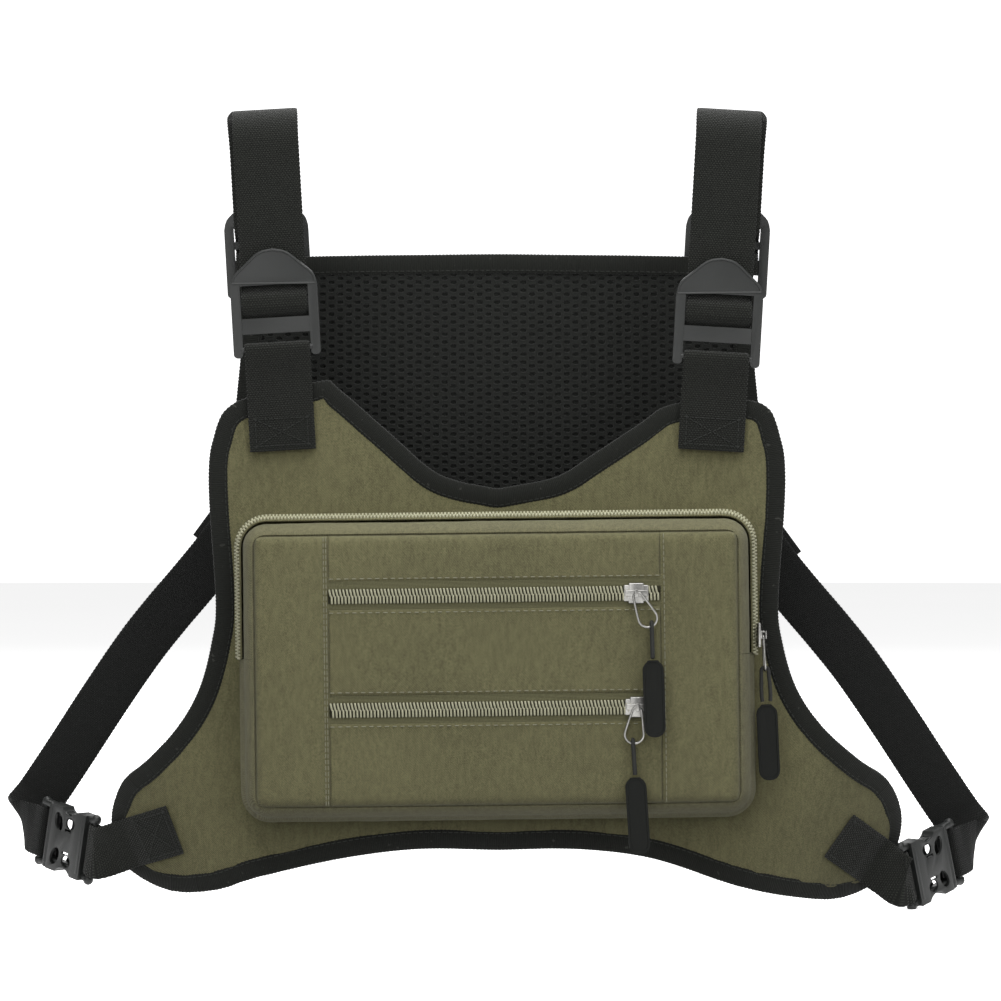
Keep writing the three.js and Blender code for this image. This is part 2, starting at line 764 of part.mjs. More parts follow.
/** A ladder lock about its lower bar: rails, three bars and a domed lifting tab. */
function ladderLock() {
  const front = lock.setBack - lock.depth / 2;
  const back = lock.setBack + lock.depth / 2;
  const outer = lockInnerHalf + lock.rail;
  const half = lock.tabHalfWidth;
  const right = smooth(
    [
      [outer, tabFoot - 1],
      [half + 1, tabFoot + 5],
      [0.8 * half, tabFoot + 0.5 * lock.tabHeight],
      [0.38 * half, tabFoot + 0.9 * lock.tabHeight],
      [0, tabFoot + lock.tabHeight],
    ],
    3,
  );
  const left = right.slice(0, -1).reverse().map(([x, z]) => [-x, z]);
  let body = prism([...right, ...left, [-outer, tabFoot - 1.5], [outer, tabFoot - 1.5]], front, back);
  body = body.subtract(
    box([-lockInnerHalf, front - 1, tabFoot - 3], [lockInnerHalf, back + 1, tabFoot]),
  );
  for (const sign of [-1, 1]) {
    const middle = sign * (lockInnerHalf + lock.rail / 2);
    const high = tabFoot + lock.footDrop;
    const rail = roundedRectangle(middle, high / 2 - lock.footDrop, lock.rail, high, 2.2, 3);
    body = body.add(prism(rail, front, back));
  }
  const barFront = lock.setBack - lock.barDepth / 2;
  const reach = lockInnerHalf + 1;
  for (const [low, high] of [[loopTop, loopTop + lock.middleBar], [gripFoot, gripTop]]) {
    body = body.add(box([-reach, barFront, low], [reach, barFront + lock.barDepth, high]));
  }
  const pivot = new THREE.CylinderGeometry(lock.pivotRadius, lock.pivotRadius, 2 * reach, 10);
  return body.add(solidOf(pivot.rotateZ(Math.PI / 2)));
}

/** The short strap that loops over a lock's lower bar and is sewn to a panel below it. */
function loopStrap(standOff, foot) {
  const turn = lock.pivotRadius + lay;
  const inner = standOff - lay;
  const outer = inner - shoulderWebbing.thickness - clearance;
  const points = [
    [outer, -foot],
    [outer, -foot * 0.6],
    [outer, -shortStrap.converge],
    [(outer - turn) / 2, -shortStrap.converge * 0.5],
  ];
  for (let i = 0; i <= 6; i++) {
    const angle = Math.PI - (Math.PI * i) / 6;
    points.push([turn * Math.cos(angle), turn * Math.sin(angle)]);
  }
  points.push([(inner + turn) / 2, -shortStrap.converge * 0.5]);
  points.push([inner, -shortStrap.converge], [inner, -foot * 0.6], [inner, 2 - foot]);
  return ribbon(
    points.map(([y, z]) => ({
      at: new THREE.Vector3(0, y, z),
      across: new THREE.Vector3(1, 0, 0),
    })),
    shoulderWebbing,
  );
}

/** Where the shoulder webbing runs through a lock, from its tail up, as [depth, height]. */
function gripRoute() {
  const over = lock.setBack - lock.barDepth / 2 - lay;
  const tail = lock.setBack + lock.barDepth / 2 + lay;
  const barTop = loopTop + lock.middleBar;
  return [
    [tail, barTop - 8],
    [tail, barTop - 3],
    [tail - 0.2, barTop + 0.9],
    [lock.setBack, gripFoot - 3.4],
    [over + 0.3, gripFoot - 0.9],
    [over, (gripFoot + gripTop) / 2],
    [over + 0.3, gripTop + 0.9],
    [lock.setBack, gripTop + 3.6],
    [strandY - 1.6, tabFoot - 3],
    [strandY - 0.2, tabFoot - 1],
    [strandY, tabFoot + 4],
    [strandY, tabFoot + lock.tabHeight + 3],
  ];
}

const frontAxisY = bindingFront - shortStrap.frontStandOff;
const backAxisY = backFace + clearance + binding.wall + shortStrap.backStandOff;

/** A shoulder strap with both its locks, leaning as it hangs. */
function shoulderStrap(side, { sign, lockDrop, strapFoot }) {
  const strap = new THREE.Group();
  strap.position.set(sign * shoulder.halfSpacing, 0, 0);
  strap.rotation.y = THREE.MathUtils.degToRad(sign * shoulder.lean);
  group.add(strap);

  const splay = sign * shoulder.backSplay;
  const frontEnd = new THREE.Group();
  frontEnd.position.set(0, frontAxisY, -lockDrop);
  const backEnd = new THREE.Group();
  backEnd.position.set(splay, backAxisY, -shoulder.backLockDrop);
  backEnd.rotation.z = Math.PI;
  strap.add(frontEnd, backEnd);
  addPiece(`${side}_front_ladder_lock`, ladderLock(), finishes.plastic, frontEnd);
  addPiece(`${side}_back_ladder_lock`, ladderLock(), finishes.plastic, backEnd);
  addPiece(
    `${side}_front_loop_strap`,
    loopStrap(shortStrap.frontStandOff, strapFoot - lockDrop),
    finishes.webbing,
    frontEnd,
  );
  addPiece(
    `${side}_back_loop_strap`,
    loopStrap(shortStrap.backStandOff, shortStrap.backFoot),
    finishes.webbing,
    backEnd,
  );

  const radius = shoulder.bendRadius;
  const top = shoulderWebbing.thickness / 2;
  const frontY = frontAxisY + strandY;
  const backY = backAxisY - strandY;
  const arch = [];
  for (let i = 0; i <= 5; i++) {
    const angle = Math.PI - (Math.PI * i) / 10;
    arch.push([frontY + radius + radius * Math.cos(angle), top - radius + radius * Math.sin(angle)]);
  }
  for (let i = 0; i <= 5; i++) {
    const angle = Math.PI / 2 - (Math.PI * i) / 10;
    arch.push([backY - radius + radius * Math.cos(angle), top - radius + radius * Math.sin(angle)]);
  }
  const route = [
    ...gripRoute().map(([y, z]) => [frontAxisY + y, z - lockDrop]),
    ...arch,
    ...gripRoute().reverse().map(([y, z]) => [backAxisY - y, z - shoulder.backLockDrop]),
  ];
  const stations = route.map(([y, z]) => {
    const share = THREE.MathUtils.clamp((y - frontY - 4) / (backY - frontY - 8), 0, 1);
    return {
      at: new THREE.Vector3(splay * THREE.MathUtils.smoothstep(share, 0, 1), y, z),
      across: new THREE.Vector3(1, 0, 0),
    };
  });
  addPiece(`${side}_shoulder_webbing`, ribbon(stations, shoulderWebbing), finishes.webbing, strap);
}

shoulderStrap("left", sides.left);
shoulderStrap("right", sides.right);

// ---------------------------------------------------------------- side straps and buckles

const sideLay = sideWebbing.thickness / 2 + clearance;
const bodyHalf = sideWebbing.width / 2 + 0.5 + buckle.rail;
const openHalf = sideWebbing.width / 2 + 0.5;
const innerEnd = -buckle.length / 2;
const outerEnd = buckle.length / 2;
const socketBar = innerEnd + buckle.barRadius;
const insertBar = outerEnd - buckle.barRadius;
const insertFlange = insertBar - buckle.barRadius - buckle.insertSlot;
const mouth = insertFlange - buckle.mouthFlange;
const slotEnd = innerEnd + 2 * buckle.barRadius + buckle.slot;
const cavityHalf = bodyHalf - buckle.sideWall;

/** A round webbing bar across a buckle. */
function crossBar(along) {
  const bar = new THREE.CylinderGeometry(
    buckle.barRadius,
    buckle.barRadius,
    2 * openHalf + 2,
    10,
  );
  return solidOf(bar.rotateX(Math.PI / 2).translate(along, 0, 0));
}

/** A box about a buckle's middle plane, from one distance along its axis to another. */
function slab(from, to, halfDepth, low, high) {
  return box([from, -halfDepth, low], [to, halfDepth, high]);
}

/** The buckle's socket: X runs out to the insert, Z across the webbing. */
function socketBody() {
  const half = buckle.thickness / 2;
  const socketEnd = mouth - clearance;
  const outline = roundedRectangle(
    (innerEnd + socketEnd) / 2,
    0,
    socketEnd - innerEnd,
    2 * bodyHalf,
    3,
    3,
  );
  let body = prism(outline, -half, half);
  body = body.subtract(slab(innerEnd - 1, slotEnd, half + 1, -openHalf, openHalf));
  body = body.subtract(slab(slotEnd + 3, socketEnd + 1, half - buckle.wall, -cavityHalf, cavityHalf));
  const windowFrom = slotEnd + 7;
  const windowTo = socketEnd - 5;
  for (const sign of [-1, 1]) {
    const low = Math.min(sign * (cavityHalf - 1), sign * (bodyHalf + 1));
    body = body.subtract(slab(windowFrom, windowTo, half - buckle.wall, low, low + bodyHalf - cavityHalf + 2));
    const nearer = Math.min(sign * 5, sign * (cavityHalf - 4));
    body = body.subtract(slab(windowFrom, windowTo, half + 1, nearer, nearer + cavityHalf - 9));
  }
  return body.add(crossBar(socketBar));
}

/** The insert: its flange closes the socket's mouth, and its bar holds the side strap. */
function insertBody() {
  const half = buckle.thickness / 2;
  let body = slab(mouth, insertFlange, half, -bodyHalf, bodyHalf);
  for (const sign of [-1, 1]) {
    const low = Math.min(sign * openHalf, sign * bodyHalf);
    body = body.add(slab(insertFlange - 1, outerEnd, buckle.barRadius + 0.5, low, low + buckle.rail));
  }
  body = body.add(slab(mouth - tongue.length, mouth + 1, tongue.halfDepth, -tongue.halfWidth, tongue.halfWidth));
  return body.add(crossBar(insertBar));
}

const prongInner = cavityHalf - prong.inset - prong.pad;

/** One spring arm of the insert, with the pad that shows in the socket's side. */
function prongBody(sign) {
  const root = mouth - clearance;
  const tip = root - prong.length;
  const outline = [
    [root, prongInner],
    [root, prongInner + prong.root],
    [tip + prong.padLength + 2, prongInner + prong.root],
    [tip + prong.padLength - 1, prongInner + prong.pad],
    [tip + 3, prongInner + prong.pad],
    [tip, prongInner + 1.6],
    [tip, prongInner],
  ];
  const points = sign > 0 ? outline : outline.map(([x, z]) => [x, -z]);
  return prism(points, -prong.halfDepth, prong.halfDepth);
}

/** A buckle's place and its own directions: out along its axis, up across the webbing, front. */
function buckleFrame({ sign, wingReach, buckle: place }) {
  const yaw = THREE.MathUtils.degToRad(place.yaw);
  const rise = THREE.MathUtils.degToRad(place.rise);
  const out = new THREE.Vector3(
    sign * Math.cos(yaw) * Math.cos(rise),
    Math.sin(yaw) * Math.cos(rise),
    Math.sin(rise),
  );
  const front = new THREE.Vector3(sign * Math.sin(yaw), -Math.cos(yaw), 0);
  const up = new THREE.Vector3().crossVectors(front, out).multiplyScalar(sign);
  const centre = new THREE.Vector3(
    sign * (waist + wingReach + place.out),
    place.back,
    hem + place.aboveHem,
  );
  const at = (along, forward) =>
    centre.clone().addScaledVector(out, along).addScaledVector(front, forward);
  return { out, front, up, centre, at };
}

/** Stations round a bar of a buckle, from its front to its back by way of one side. */
function roundBar(frame, along, towards) {
  const turn = buckle.barRadius + sideLay;
  const stations = [];
  for (let i = 0; i <= 6; i++) {
    const angle = (Math.PI * i) / 6;
    const at = frame.at(along + towards * turn * Math.sin(angle), turn * Math.cos(angle));
    stations.push({ at, across: frame.up });
  }
  return stations;
}

/** A place on the front panel's curled wing, and a direction laid along it there. */
function onWing(x, z, acrossX, acrossZ) {
  const rise = curl(x + acrossX, z + acrossZ) - curl(x, z);
  const slope = Math.hypot(curl(x + 1, z) - curl(x, z), curl(x, z + 1) - curl(x, z));
  const y = curl(x, z) + bindingFront - (sideLay + wingStrapRise) * Math.hypot(1, slope);
  return {
    at: new THREE.Vector3(x, y, z),
    across: new THREE.Vector3(acrossX, rise, acrossZ).normalize(),
  };
}

/** The buckle, the wing strap that holds its socket and the side strap that holds its insert. */
function sideFastening(side, values) {
  const { sign, wingReach, patch, anchor } = values;
  const frame = buckleFrame(values);
  const normal = new THREE.Vector3().crossVectors(frame.up, frame.out);
  const holder = new THREE.Group();
  holder.applyMatrix4(new THREE.Matrix4().makeBasis(frame.out, normal, frame.up));
  holder.position.copy(frame.centre);
  group.add(holder);
  addPiece(`${side}_buckle_socket`, socketBody(), finishes.plastic, holder);
  addPiece(`${side}_buckle_insert`, insertBody(), finishes.plastic, holder);
  addPiece(`${side}_upper_prong`, prongBody(1), finishes.plastic, holder);
  addPiece(`${side}_lower_prong`, prongBody(-1), finishes.plastic, holder);

  const bar = frame.at(socketBar - 7, 3);
  const start = new THREE.Vector2(sign * (waist + wingReach - patch.in), hem + patch.aboveHem);
  const along = new THREE.Vector2(bar.x, bar.z).sub(start);
  const heading = along.clone().normalize();
  const across = [-heading.y * sign, heading.x * sign];
  const onto = (share) =>
    onWing(start.x + along.x * share, start.y + along.y * share, ...across);
  const wingRoute = [
    onto(0),
    onto(0.2),
    onto(0.4),
    onto(0.58),
    { at: frame.at(socketBar - sideWebbing.width / 4, 0.14 * sideWebbing.width), across: frame.up },
    ...roundBar(frame, socketBar, 1),
    { at: frame.at(socketBar - 4, -2.7), across: frame.up },
  ];
  addPiece(`${side}_wing_strap`, ribbon(wingRoute, sideWebbing), finishes.webbing, holder.parent);

  const end = new THREE.Vector3(
    sign * (backPanel.bottomHalf - anchor.in),
    backFace + 2 * clearance + binding.wall + sideLay,
    backBottom + anchor.aboveBottom,
  );
  const turnOut = frame.at(outerEnd + 9, 3.2);
  const fold = turnOut.clone().add(new THREE.Vector3(sign * 4, 9, 4));
  const behind = turnOut.clone().add(new THREE.Vector3(-sign * 6, 16, 17));
  const rising = end.clone().sub(behind).setY(0).normalize();
  const slant = new THREE.Vector3(rising.z * sign, 0, -rising.x * sign);
  const mix = (share) => frame.up.clone().lerp(slant, share).normalize();
  const middle = behind.clone().lerp(end, 0.5).add(new THREE.Vector3(sign * 3, 1, 3));
  const strapRoute = [
    { at: frame.at(insertBar + 8, -2.6), across: frame.up },
    ...roundBar(frame, insertBar, -1).reverse(),
    { at: frame.at(insertBar + 5, 3.2), across: frame.up },
    { at: turnOut, across: mix(0.15) },
    { at: fold, across: mix(0.45) },
    { at: behind, across: mix(0.8) },
    { at: middle, across: slant },
    { at: end.clone().addScaledVector(rising, -strapAnchor.length), across: slant },
    { at: end, across: slant },
  ];
  addPiece(`${side}_side_strap`, ribbon(strapRoute, sideWebbing, 3), finishes.webbing, group);

  const tab = new THREE.Group();
  tab.position.copy(end);
  tab.position.y += sideLay;
  tab.rotation.y = Math.atan2(rising.x, rising.z);
  group.add(tab);
  const tabHalf = sideWebbing.width / 2 + strapAnchor.margin;
  const tabBody = box(
    [-tabHalf, 0, strapAnchor.margin - strapAnchor.length],
    [tabHalf, strapAnchor.thickness, strapAnchor.margin],
  );
  addPiece(`${side}_strap_anchor`, tabBody, finishes.webbing, tab);
}

sideFastening("left", sides.left);
sideFastening("right", sides.right);

export default group;
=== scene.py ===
"""The looks of a chest harness vest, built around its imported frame.

Every piece is in metres, in the frame of the vest: +X to the right seen from the front, +Y to the
wearer's back, +Z up, with the origin between the shoulder loops where they rest on the shoulders.
"""

import json
import logging
import math
from collections.abc import Callable, Sequence
from dataclasses import dataclass, replace
from enum import Enum

import bmesh
import bpy
import numpy as np
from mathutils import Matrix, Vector


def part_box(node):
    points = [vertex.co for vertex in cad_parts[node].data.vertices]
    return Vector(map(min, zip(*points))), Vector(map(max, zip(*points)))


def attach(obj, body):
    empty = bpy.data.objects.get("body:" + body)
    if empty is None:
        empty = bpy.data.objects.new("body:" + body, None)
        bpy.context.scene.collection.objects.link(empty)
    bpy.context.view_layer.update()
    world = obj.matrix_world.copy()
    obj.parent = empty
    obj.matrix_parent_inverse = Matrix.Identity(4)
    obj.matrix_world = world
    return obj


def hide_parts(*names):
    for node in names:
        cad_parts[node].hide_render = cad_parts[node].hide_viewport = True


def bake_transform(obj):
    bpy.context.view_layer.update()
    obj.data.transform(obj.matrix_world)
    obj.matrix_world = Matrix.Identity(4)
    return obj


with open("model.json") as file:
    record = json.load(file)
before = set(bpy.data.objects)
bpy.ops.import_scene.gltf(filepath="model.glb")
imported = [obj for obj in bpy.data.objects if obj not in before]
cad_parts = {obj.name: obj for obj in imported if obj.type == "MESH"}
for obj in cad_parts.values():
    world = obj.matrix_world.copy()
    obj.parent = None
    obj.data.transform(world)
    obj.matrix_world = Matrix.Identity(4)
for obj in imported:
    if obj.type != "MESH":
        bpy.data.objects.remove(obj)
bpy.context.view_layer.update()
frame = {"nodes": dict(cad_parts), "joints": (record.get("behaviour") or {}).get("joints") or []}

log = logging.getLogger("harness_vest")

MM = 0.001
WELD = 0.002 * MM
SIMULATED_FRAMES = 20
FORWARD = Vector((0, -1, 0))
Colour = tuple[float, float, float]


# ---------------- shader maths


class Value:
    """A number that varies over a surface, held by a node socket, which takes Python's own maths."""

    def __init__(self, paint: "Paint", socket: bpy.types.NodeSocket) -> None:
        """Wraps an output socket.

        Args:
            paint: The material that the socket is in.
            socket: The output that holds the number.
        """
        self.paint = paint
        self.socket = socket

    def _maths(self, operation: str, *others: "Value | float") -> "Value":
        """Adds a Math node on this value and the others, in that order."""
        values = dict(enumerate([self, *others]))
        return self.paint.node("ShaderNodeMath", {"operation": operation}, values)

    def _reflected(self, operation: str, first: float) -> "Value":
        """Adds a Math node with the plain number first."""
        return self.paint.node("ShaderNodeMath", {"operation": operation}, {0: first, 1: self})

    def __add__(self, other: "Value | float") -> "Value":
        """The sum."""
        return self._maths("ADD", other)

    __radd__ = __add__

    def __mul__(self, other: "Value | float") -> "Value":
        """The product."""
        return self._maths("MULTIPLY", other)

    __rmul__ = __mul__

    def __sub__(self, other: "Value | float") -> "Value":
        """The difference."""
        return self._maths("SUBTRACT", other)

    def __rsub__(self, other: float) -> "Value":
        """A plain number less this value."""
        return self._reflected("SUBTRACT", other)

    def __truediv__(self, other: "Value | float") -> "Value":
        """The quotient."""
        return self._maths("DIVIDE", other)

    def wave(self, pitch: float) -> "Value":
        """A smooth wave from 0 to 1 that repeats at each pitch of this value."""
        return (self * (2 * math.pi / pitch))._maths("SINE") * 0.5 + 0.5

    def ridge(self, low: float, high: float) -> "Value":
        """0 below the low limit and 1 above the high one, smooth between them."""
        inputs = {"Value": self, "From Min": low, "From Max": high}
        return self.paint.node("ShaderNodeMapRange", {"interpolation_type": "SMOOTHSTEP"}, inputs)

    def step_of(self, pitch: float) -> "Value":
        """The whole number of pitches below this value."""
        return (self / pitch)._maths("FLOOR")


class Paint:
    """A material under construction, with its Principled shader."""

    def __init__(self, name: str) -> None:
        """Starts a material.

        Args:
            name: The material's name.
        """
        self.material = bpy.data.materials.new(name)
        self.material.use_nodes = True
        self.tree = self.material.node_tree
        self.shader = self.tree.nodes["Principled BSDF"]

    def node(
        self,
        kind: str,
        settings: dict[str, object] | None = None,
        inputs: dict[str | int, object] | None = None,
        output: str | int = 0,
    ) -> Value:
        """Adds a node.

        Args:
            kind: The node's type.
            settings: Its own settings, such as a Math node's operation, set before its sockets.
            inputs: What its sockets take, by name or number: values to link, or constants.
            output: Which output to hand back.

        Returns:
            The output, as a value.
        """
        made = self.tree.nodes.new(kind)
        for name, setting in (settings or {}).items():
            setattr(made, name, setting)
        for name, given in (inputs or {}).items():
            if isinstance(given, Value):
                self.tree.links.new(given.socket, made.inputs[name])
            else:
                made.inputs[name].default_value = given
        return Value(self, made.outputs[output])

    def mix(self, share: Value | float, first: object, second: object) -> Value:
        """Mixes two colours.

        Args:
            share: 0 for the first colour, 1 for the second.
            first: A colour, or a value that holds one.
            second: The other.

        Returns:
            The mixed colour.
        """
        four = [(*c, 1) if isinstance(c, tuple) else c for c in (first, second)]
        inputs = {0: share, 6: four[0], 7: four[1]}
        return self.node("ShaderNodeMix", {"data_type": "RGBA"}, inputs, 2)

    def place(self) -> tuple[Value, Value, Value]:
        """The point's own X, Y and Z in the frame of the vest."""
        where = self.node("ShaderNodeTexCoord", output="Object")
        return tuple(
            self.node("ShaderNodeSeparateXYZ", inputs={0: where}, output=axis) for axis in "XYZ"
        )

    def along(self) -> tuple[Value, Value]:
        """The distances across and along a strip of cloth, in metres, from its own UV map."""
        where = self.node("ShaderNodeTexCoord", output="UV")
        return tuple(
            self.node("ShaderNodeSeparateXYZ", inputs={0: where}, output=axis) for axis in "XY"
        )

    def noise(self, scale: float, detail: float = 2.0, stretch: Colour = (1, 1, 1)) -> Value:
        """Soft noise over the vest's own coordinates.

        Args:
            scale: Its features per metre.
            detail: How many finer layers it has.
            stretch: How much finer it is along each axis.

        Returns:
            The noise, about 0.5 on average.
        """
        where = self.node("ShaderNodeTexCoord", output="Object")
        mapped = self.node("ShaderNodeMapping", inputs={"Vector": where, "Scale": stretch})
        inputs = {"Vector": mapped, "Scale": scale, "Detail": detail}
        return self.node("ShaderNodeTexNoise", inputs=inputs)

    def dress(
        self,
        colour: Value | Colour,
        roughness: Value | float,
        height: Value | None = None,
        relief: float = 0.0002,
        **constants: float,
    ) -> bpy.types.Material:
        """Connects the shader.

        Args:
            colour: The base colour.
            roughness: The roughness.
            height: The surface's fine relief, from 0 to 1.
            relief: How deep that relief is, in metres.
            **constants: Other shader sockets, with spaces as underscores, all constant.

        Returns:
            The finished material.
        """
        wanted = {"Base Color": colour, "Roughness": roughness}
        if height is not None:
            inputs = {"Height": height, "Distance": relief, "Strength": 1.0}
            wanted["Normal"] = self.node("ShaderNodeBump", inputs=inputs)
        for name, given in wanted.items():
            if isinstance(given, Value):
                self.tree.links.new(given.socket, self.shader.inputs[name])
            else:
                four = (*given, 1) if isinstance(given, tuple) else given
                self.shader.inputs[name].default_value = four
        for name, given in constants.items():
            self.shader.inputs[name.replace("_", " ")].default_value = given
        return self.material


def scaled(colour: Colour, by: float) -> Colour:
    """A colour made lighter or darker."""
    return tuple(min(1.0, c * by) for c in colour)


# ---------------- finishes


@dataclass(frozen=True)
class Twill:
    """Dyed twill: fine slanting ribs, with threads that took the dye unevenly."""

    name: str
    colour: Colour
    pitch: float = 0.95 * MM

    def material(self) -> bpy.types.Material:
        """Makes the cloth's material."""
        paint = Paint(self.name)
        x, y, z = paint.place()
        ribs = (x + y + z).wave(self.pitch)
        grain = paint.noise(1500, 3, (1, 1, 1))
        slub = paint.noise(420, 2, (1, 1, 0.35))
        cloud = paint.noise(14, 2)
        shade = ribs * 0.3 + grain * 0.9 + slub * 0.4 + cloud * 0.22
        share = shade.ridge(0.66, 1.14)
        colour = paint.mix(share, scaled(self.colour, 0.66), scaled(self.colour, 1.38))
        height = ribs * 0.55 + grain * 0.6
        return paint.dress(
            colour, 0.92, height, 0.00028, Sheen_Weight=0.08, Sheen_Roughness=0.6,
            Specular_IOR_Level=0.18,
        )


@dataclass(frozen=True)
class Webbing:
    """Woven webbing: rows of thread tops, each row half a thread along from the last, with a painted
    highlight on the tops and painted shade in the gaps between them.
    """

    name: str
    colour: Colour
    row: float = 1.25 * MM
    thread: float = 1.7 * MM
    # How much lighter than the webbing's colour its lightest tone is: the painted highlight on the thread
    # tops, together with random fuzz and wear.
    light: float = 2.6

    def material(self) -> bpy.types.Material:
        """Makes the webbing's material."""
        paint = Paint(self.name)
        across, along = paint.along()
        offset = along.step_of(self.row) * (self.thread / 2)
        tops = (across + offset).wave(self.thread) * along.wave(self.row)
        fuzz = paint.noise(1800, 3)
        worn = paint.noise(60, 3)
        # Painted highlight on the thread tops and painted shade in the gaps between them, mixed with
        # random fuzz and wear.
        share = (tops * 1.0 + fuzz * 0.5 + worn * 0.2).ridge(0.4, 1.2)
        colour = paint.mix(share, scaled(self.colour, 0.5), scaled(self.colour, self.light))
        return paint.dress(
            colour, 0.86, tops * 0.9 + fuzz * 0.3, 0.0005, Sheen_Weight=0.1,
            Sheen_Roughness=0.5, Specular_IOR_Level=0.2,
        )


@dataclass(frozen=True)
class RibbedTape:
    """Folded edge tape, with close ribs straight across it."""

    name: str
    colour: Colour
    rib: float = 1.05 * MM

    def material(self) -> bpy.types.Material:
        """Makes the tape's material."""
        paint = Paint(self.name)
        across, along = paint.along()
        ribs = along.wave(self.rib)
        threads = across.wave(0.7 * MM)
        fuzz = paint.noise(1600, 3)
        lint = paint.noise(260, 1).ridge(0.74, 0.78)
        share = (ribs * 0.45 + threads * 0.15 + fuzz * 0.7).ridge(0.3, 1.1)
        dark = paint.mix(share, scaled(self.colour, 0.6), scaled(self.colour, 1.6))
        colour = paint.mix(lint * 0.12, dark, (0.2, 0.2, 0.18))
        return paint.dress(
            colour, 0.88, ribs * 0.8 + fuzz * 0.4, 0.00022, Sheen_Weight=0.1,
            Specular_IOR_Level=0.2,
        )


@dataclass(frozen=True)
class Knit:
    """A knitted or plain woven cloth with no strong rib, such as spacer mesh and lining."""

    name: str
    colour: Colour
    pitch: float = 0.8 * MM
    light: float = 1.7

    def material(self) -> bpy.types.Material:
        """Makes the knit's material."""
        paint = Paint(self.name)
        x, y, z = paint.place()
        weave = (x + y).wave(self.pitch) * (z + y).wave(self.pitch)
        fuzz = paint.noise(1700, 3)
        cloud = paint.noise(22, 2)
        share = (weave * 0.5 + fuzz * 0.6 + cloud * 0.3).ridge(0.3, 1.1)
        colour = paint.mix(share, scaled(self.colour, 0.6), scaled(self.colour, self.light))
        return paint.dress(
            colour, 0.84, weave * 0.7 + fuzz * 0.5, 0.0002, Sheen_Weight=0.08,
            Specular_IOR_Level=0.25,
        )


@dataclass(frozen=True)
class ZipTape:
    """Zip tape, dark in the shadow under its teeth."""

    name: str
    colour: Colour
    teeth_half: float

    def material(self) -> bpy.types.Material:
        """Makes the tape's material. The tape's U runs from its edge under the teeth."""
        paint = Paint(self.name)
        across, _ = paint.along()
        ribs = across.wave(0.75 * MM)
        fuzz = paint.noise(1500, 3)
        under = 1 - across.ridge(self.teeth_half - 0.5 * MM, self.teeth_half + 0.3 * MM)
        share = (ribs * 0.3 + fuzz * 0.9).ridge(0.3, 1.0)
        cloth = paint.mix(share, scaled(self.colour, 0.7), scaled(self.colour, 1.3))
        colour = paint.mix(under * 0.9, cloth, scaled(self.colour, 0.12))
        return paint.dress(colour, 0.9, ribs + fuzz * 0.5, 0.00015, Specular_IOR_Level=0.2)


@dataclass(frozen=True)
class Moulded:
    """Moulded plastic or rubber, with a fine grain, paler where it has rubbed."""

    name: str
    colour: Colour
    roughness: float
    grain: float = 0.00006
    specular: float = 0.5

    def material(self) -> bpy.types.Material:
        """Makes the moulding's material."""
        paint = Paint(self.name)
        speckle = paint.noise(2600, 2)
        cloud = paint.noise(70, 3)
        scuff = paint.noise(240, 4, (1, 1, 0.3)).ridge(0.6, 0.75)
        share = (speckle * 0.5 + cloud * 0.8).ridge(0.4, 0.9)
        plain = paint.mix(share, scaled(self.colour, 0.85), scaled(self.colour, 1.15))
        colour = paint.mix(scuff * 0.25, plain, scaled(self.colour, 1.8))
        roughness = cloud * 0.16 + (self.roughness - 0.08)
        return paint.dress(
            colour, roughness, speckle, self.grain, Specular_IOR_Level=self.specular
        )


@dataclass(frozen=True)
class Nickel:
    """Nickel-plated metal with fine handling marks."""

    name: str
    colour: Colour = (0.3, 0.295, 0.28)

    def material(self) -> bpy.types.Material:
        """Makes the metal's material."""
        paint = Paint(self.name)
        marks = paint.noise(900, 4, (1, 1, 6))
        cloud = paint.noise(150, 2)
        colour = paint.mix(cloud.ridge(0.35, 0.7), scaled(self.colour, 0.72), self.colour)
        roughness = marks * 0.2 + 0.2
        return paint.dress(colour, roughness, marks, 0.00001, Metallic=1.0)


@dataclass(frozen=True)
class Thread:
    """Twisted sewing thread, braided cord or a nylon coil."""

    name: str
    colour: Colour
    roughness: float = 0.6
    twist: float = 0.5 * MM

    def material(self) -> bpy.types.Material:
        """Makes the thread's material."""
        paint = Paint(self.name)
        x, y, z = paint.place()
        twist = (x + y * 0.5 - z).wave(self.twist)
        fuzz = paint.noise(900, 2)
        share = (twist * 0.5 + fuzz * 0.7).ridge(0.2, 1.0)
        colour = paint.mix(share, scaled(self.colour, 0.7), scaled(self.colour, 1.25))
        return paint.dress(colour, self.roughness, twist, 0.00008, Specular_IOR_Level=0.35)


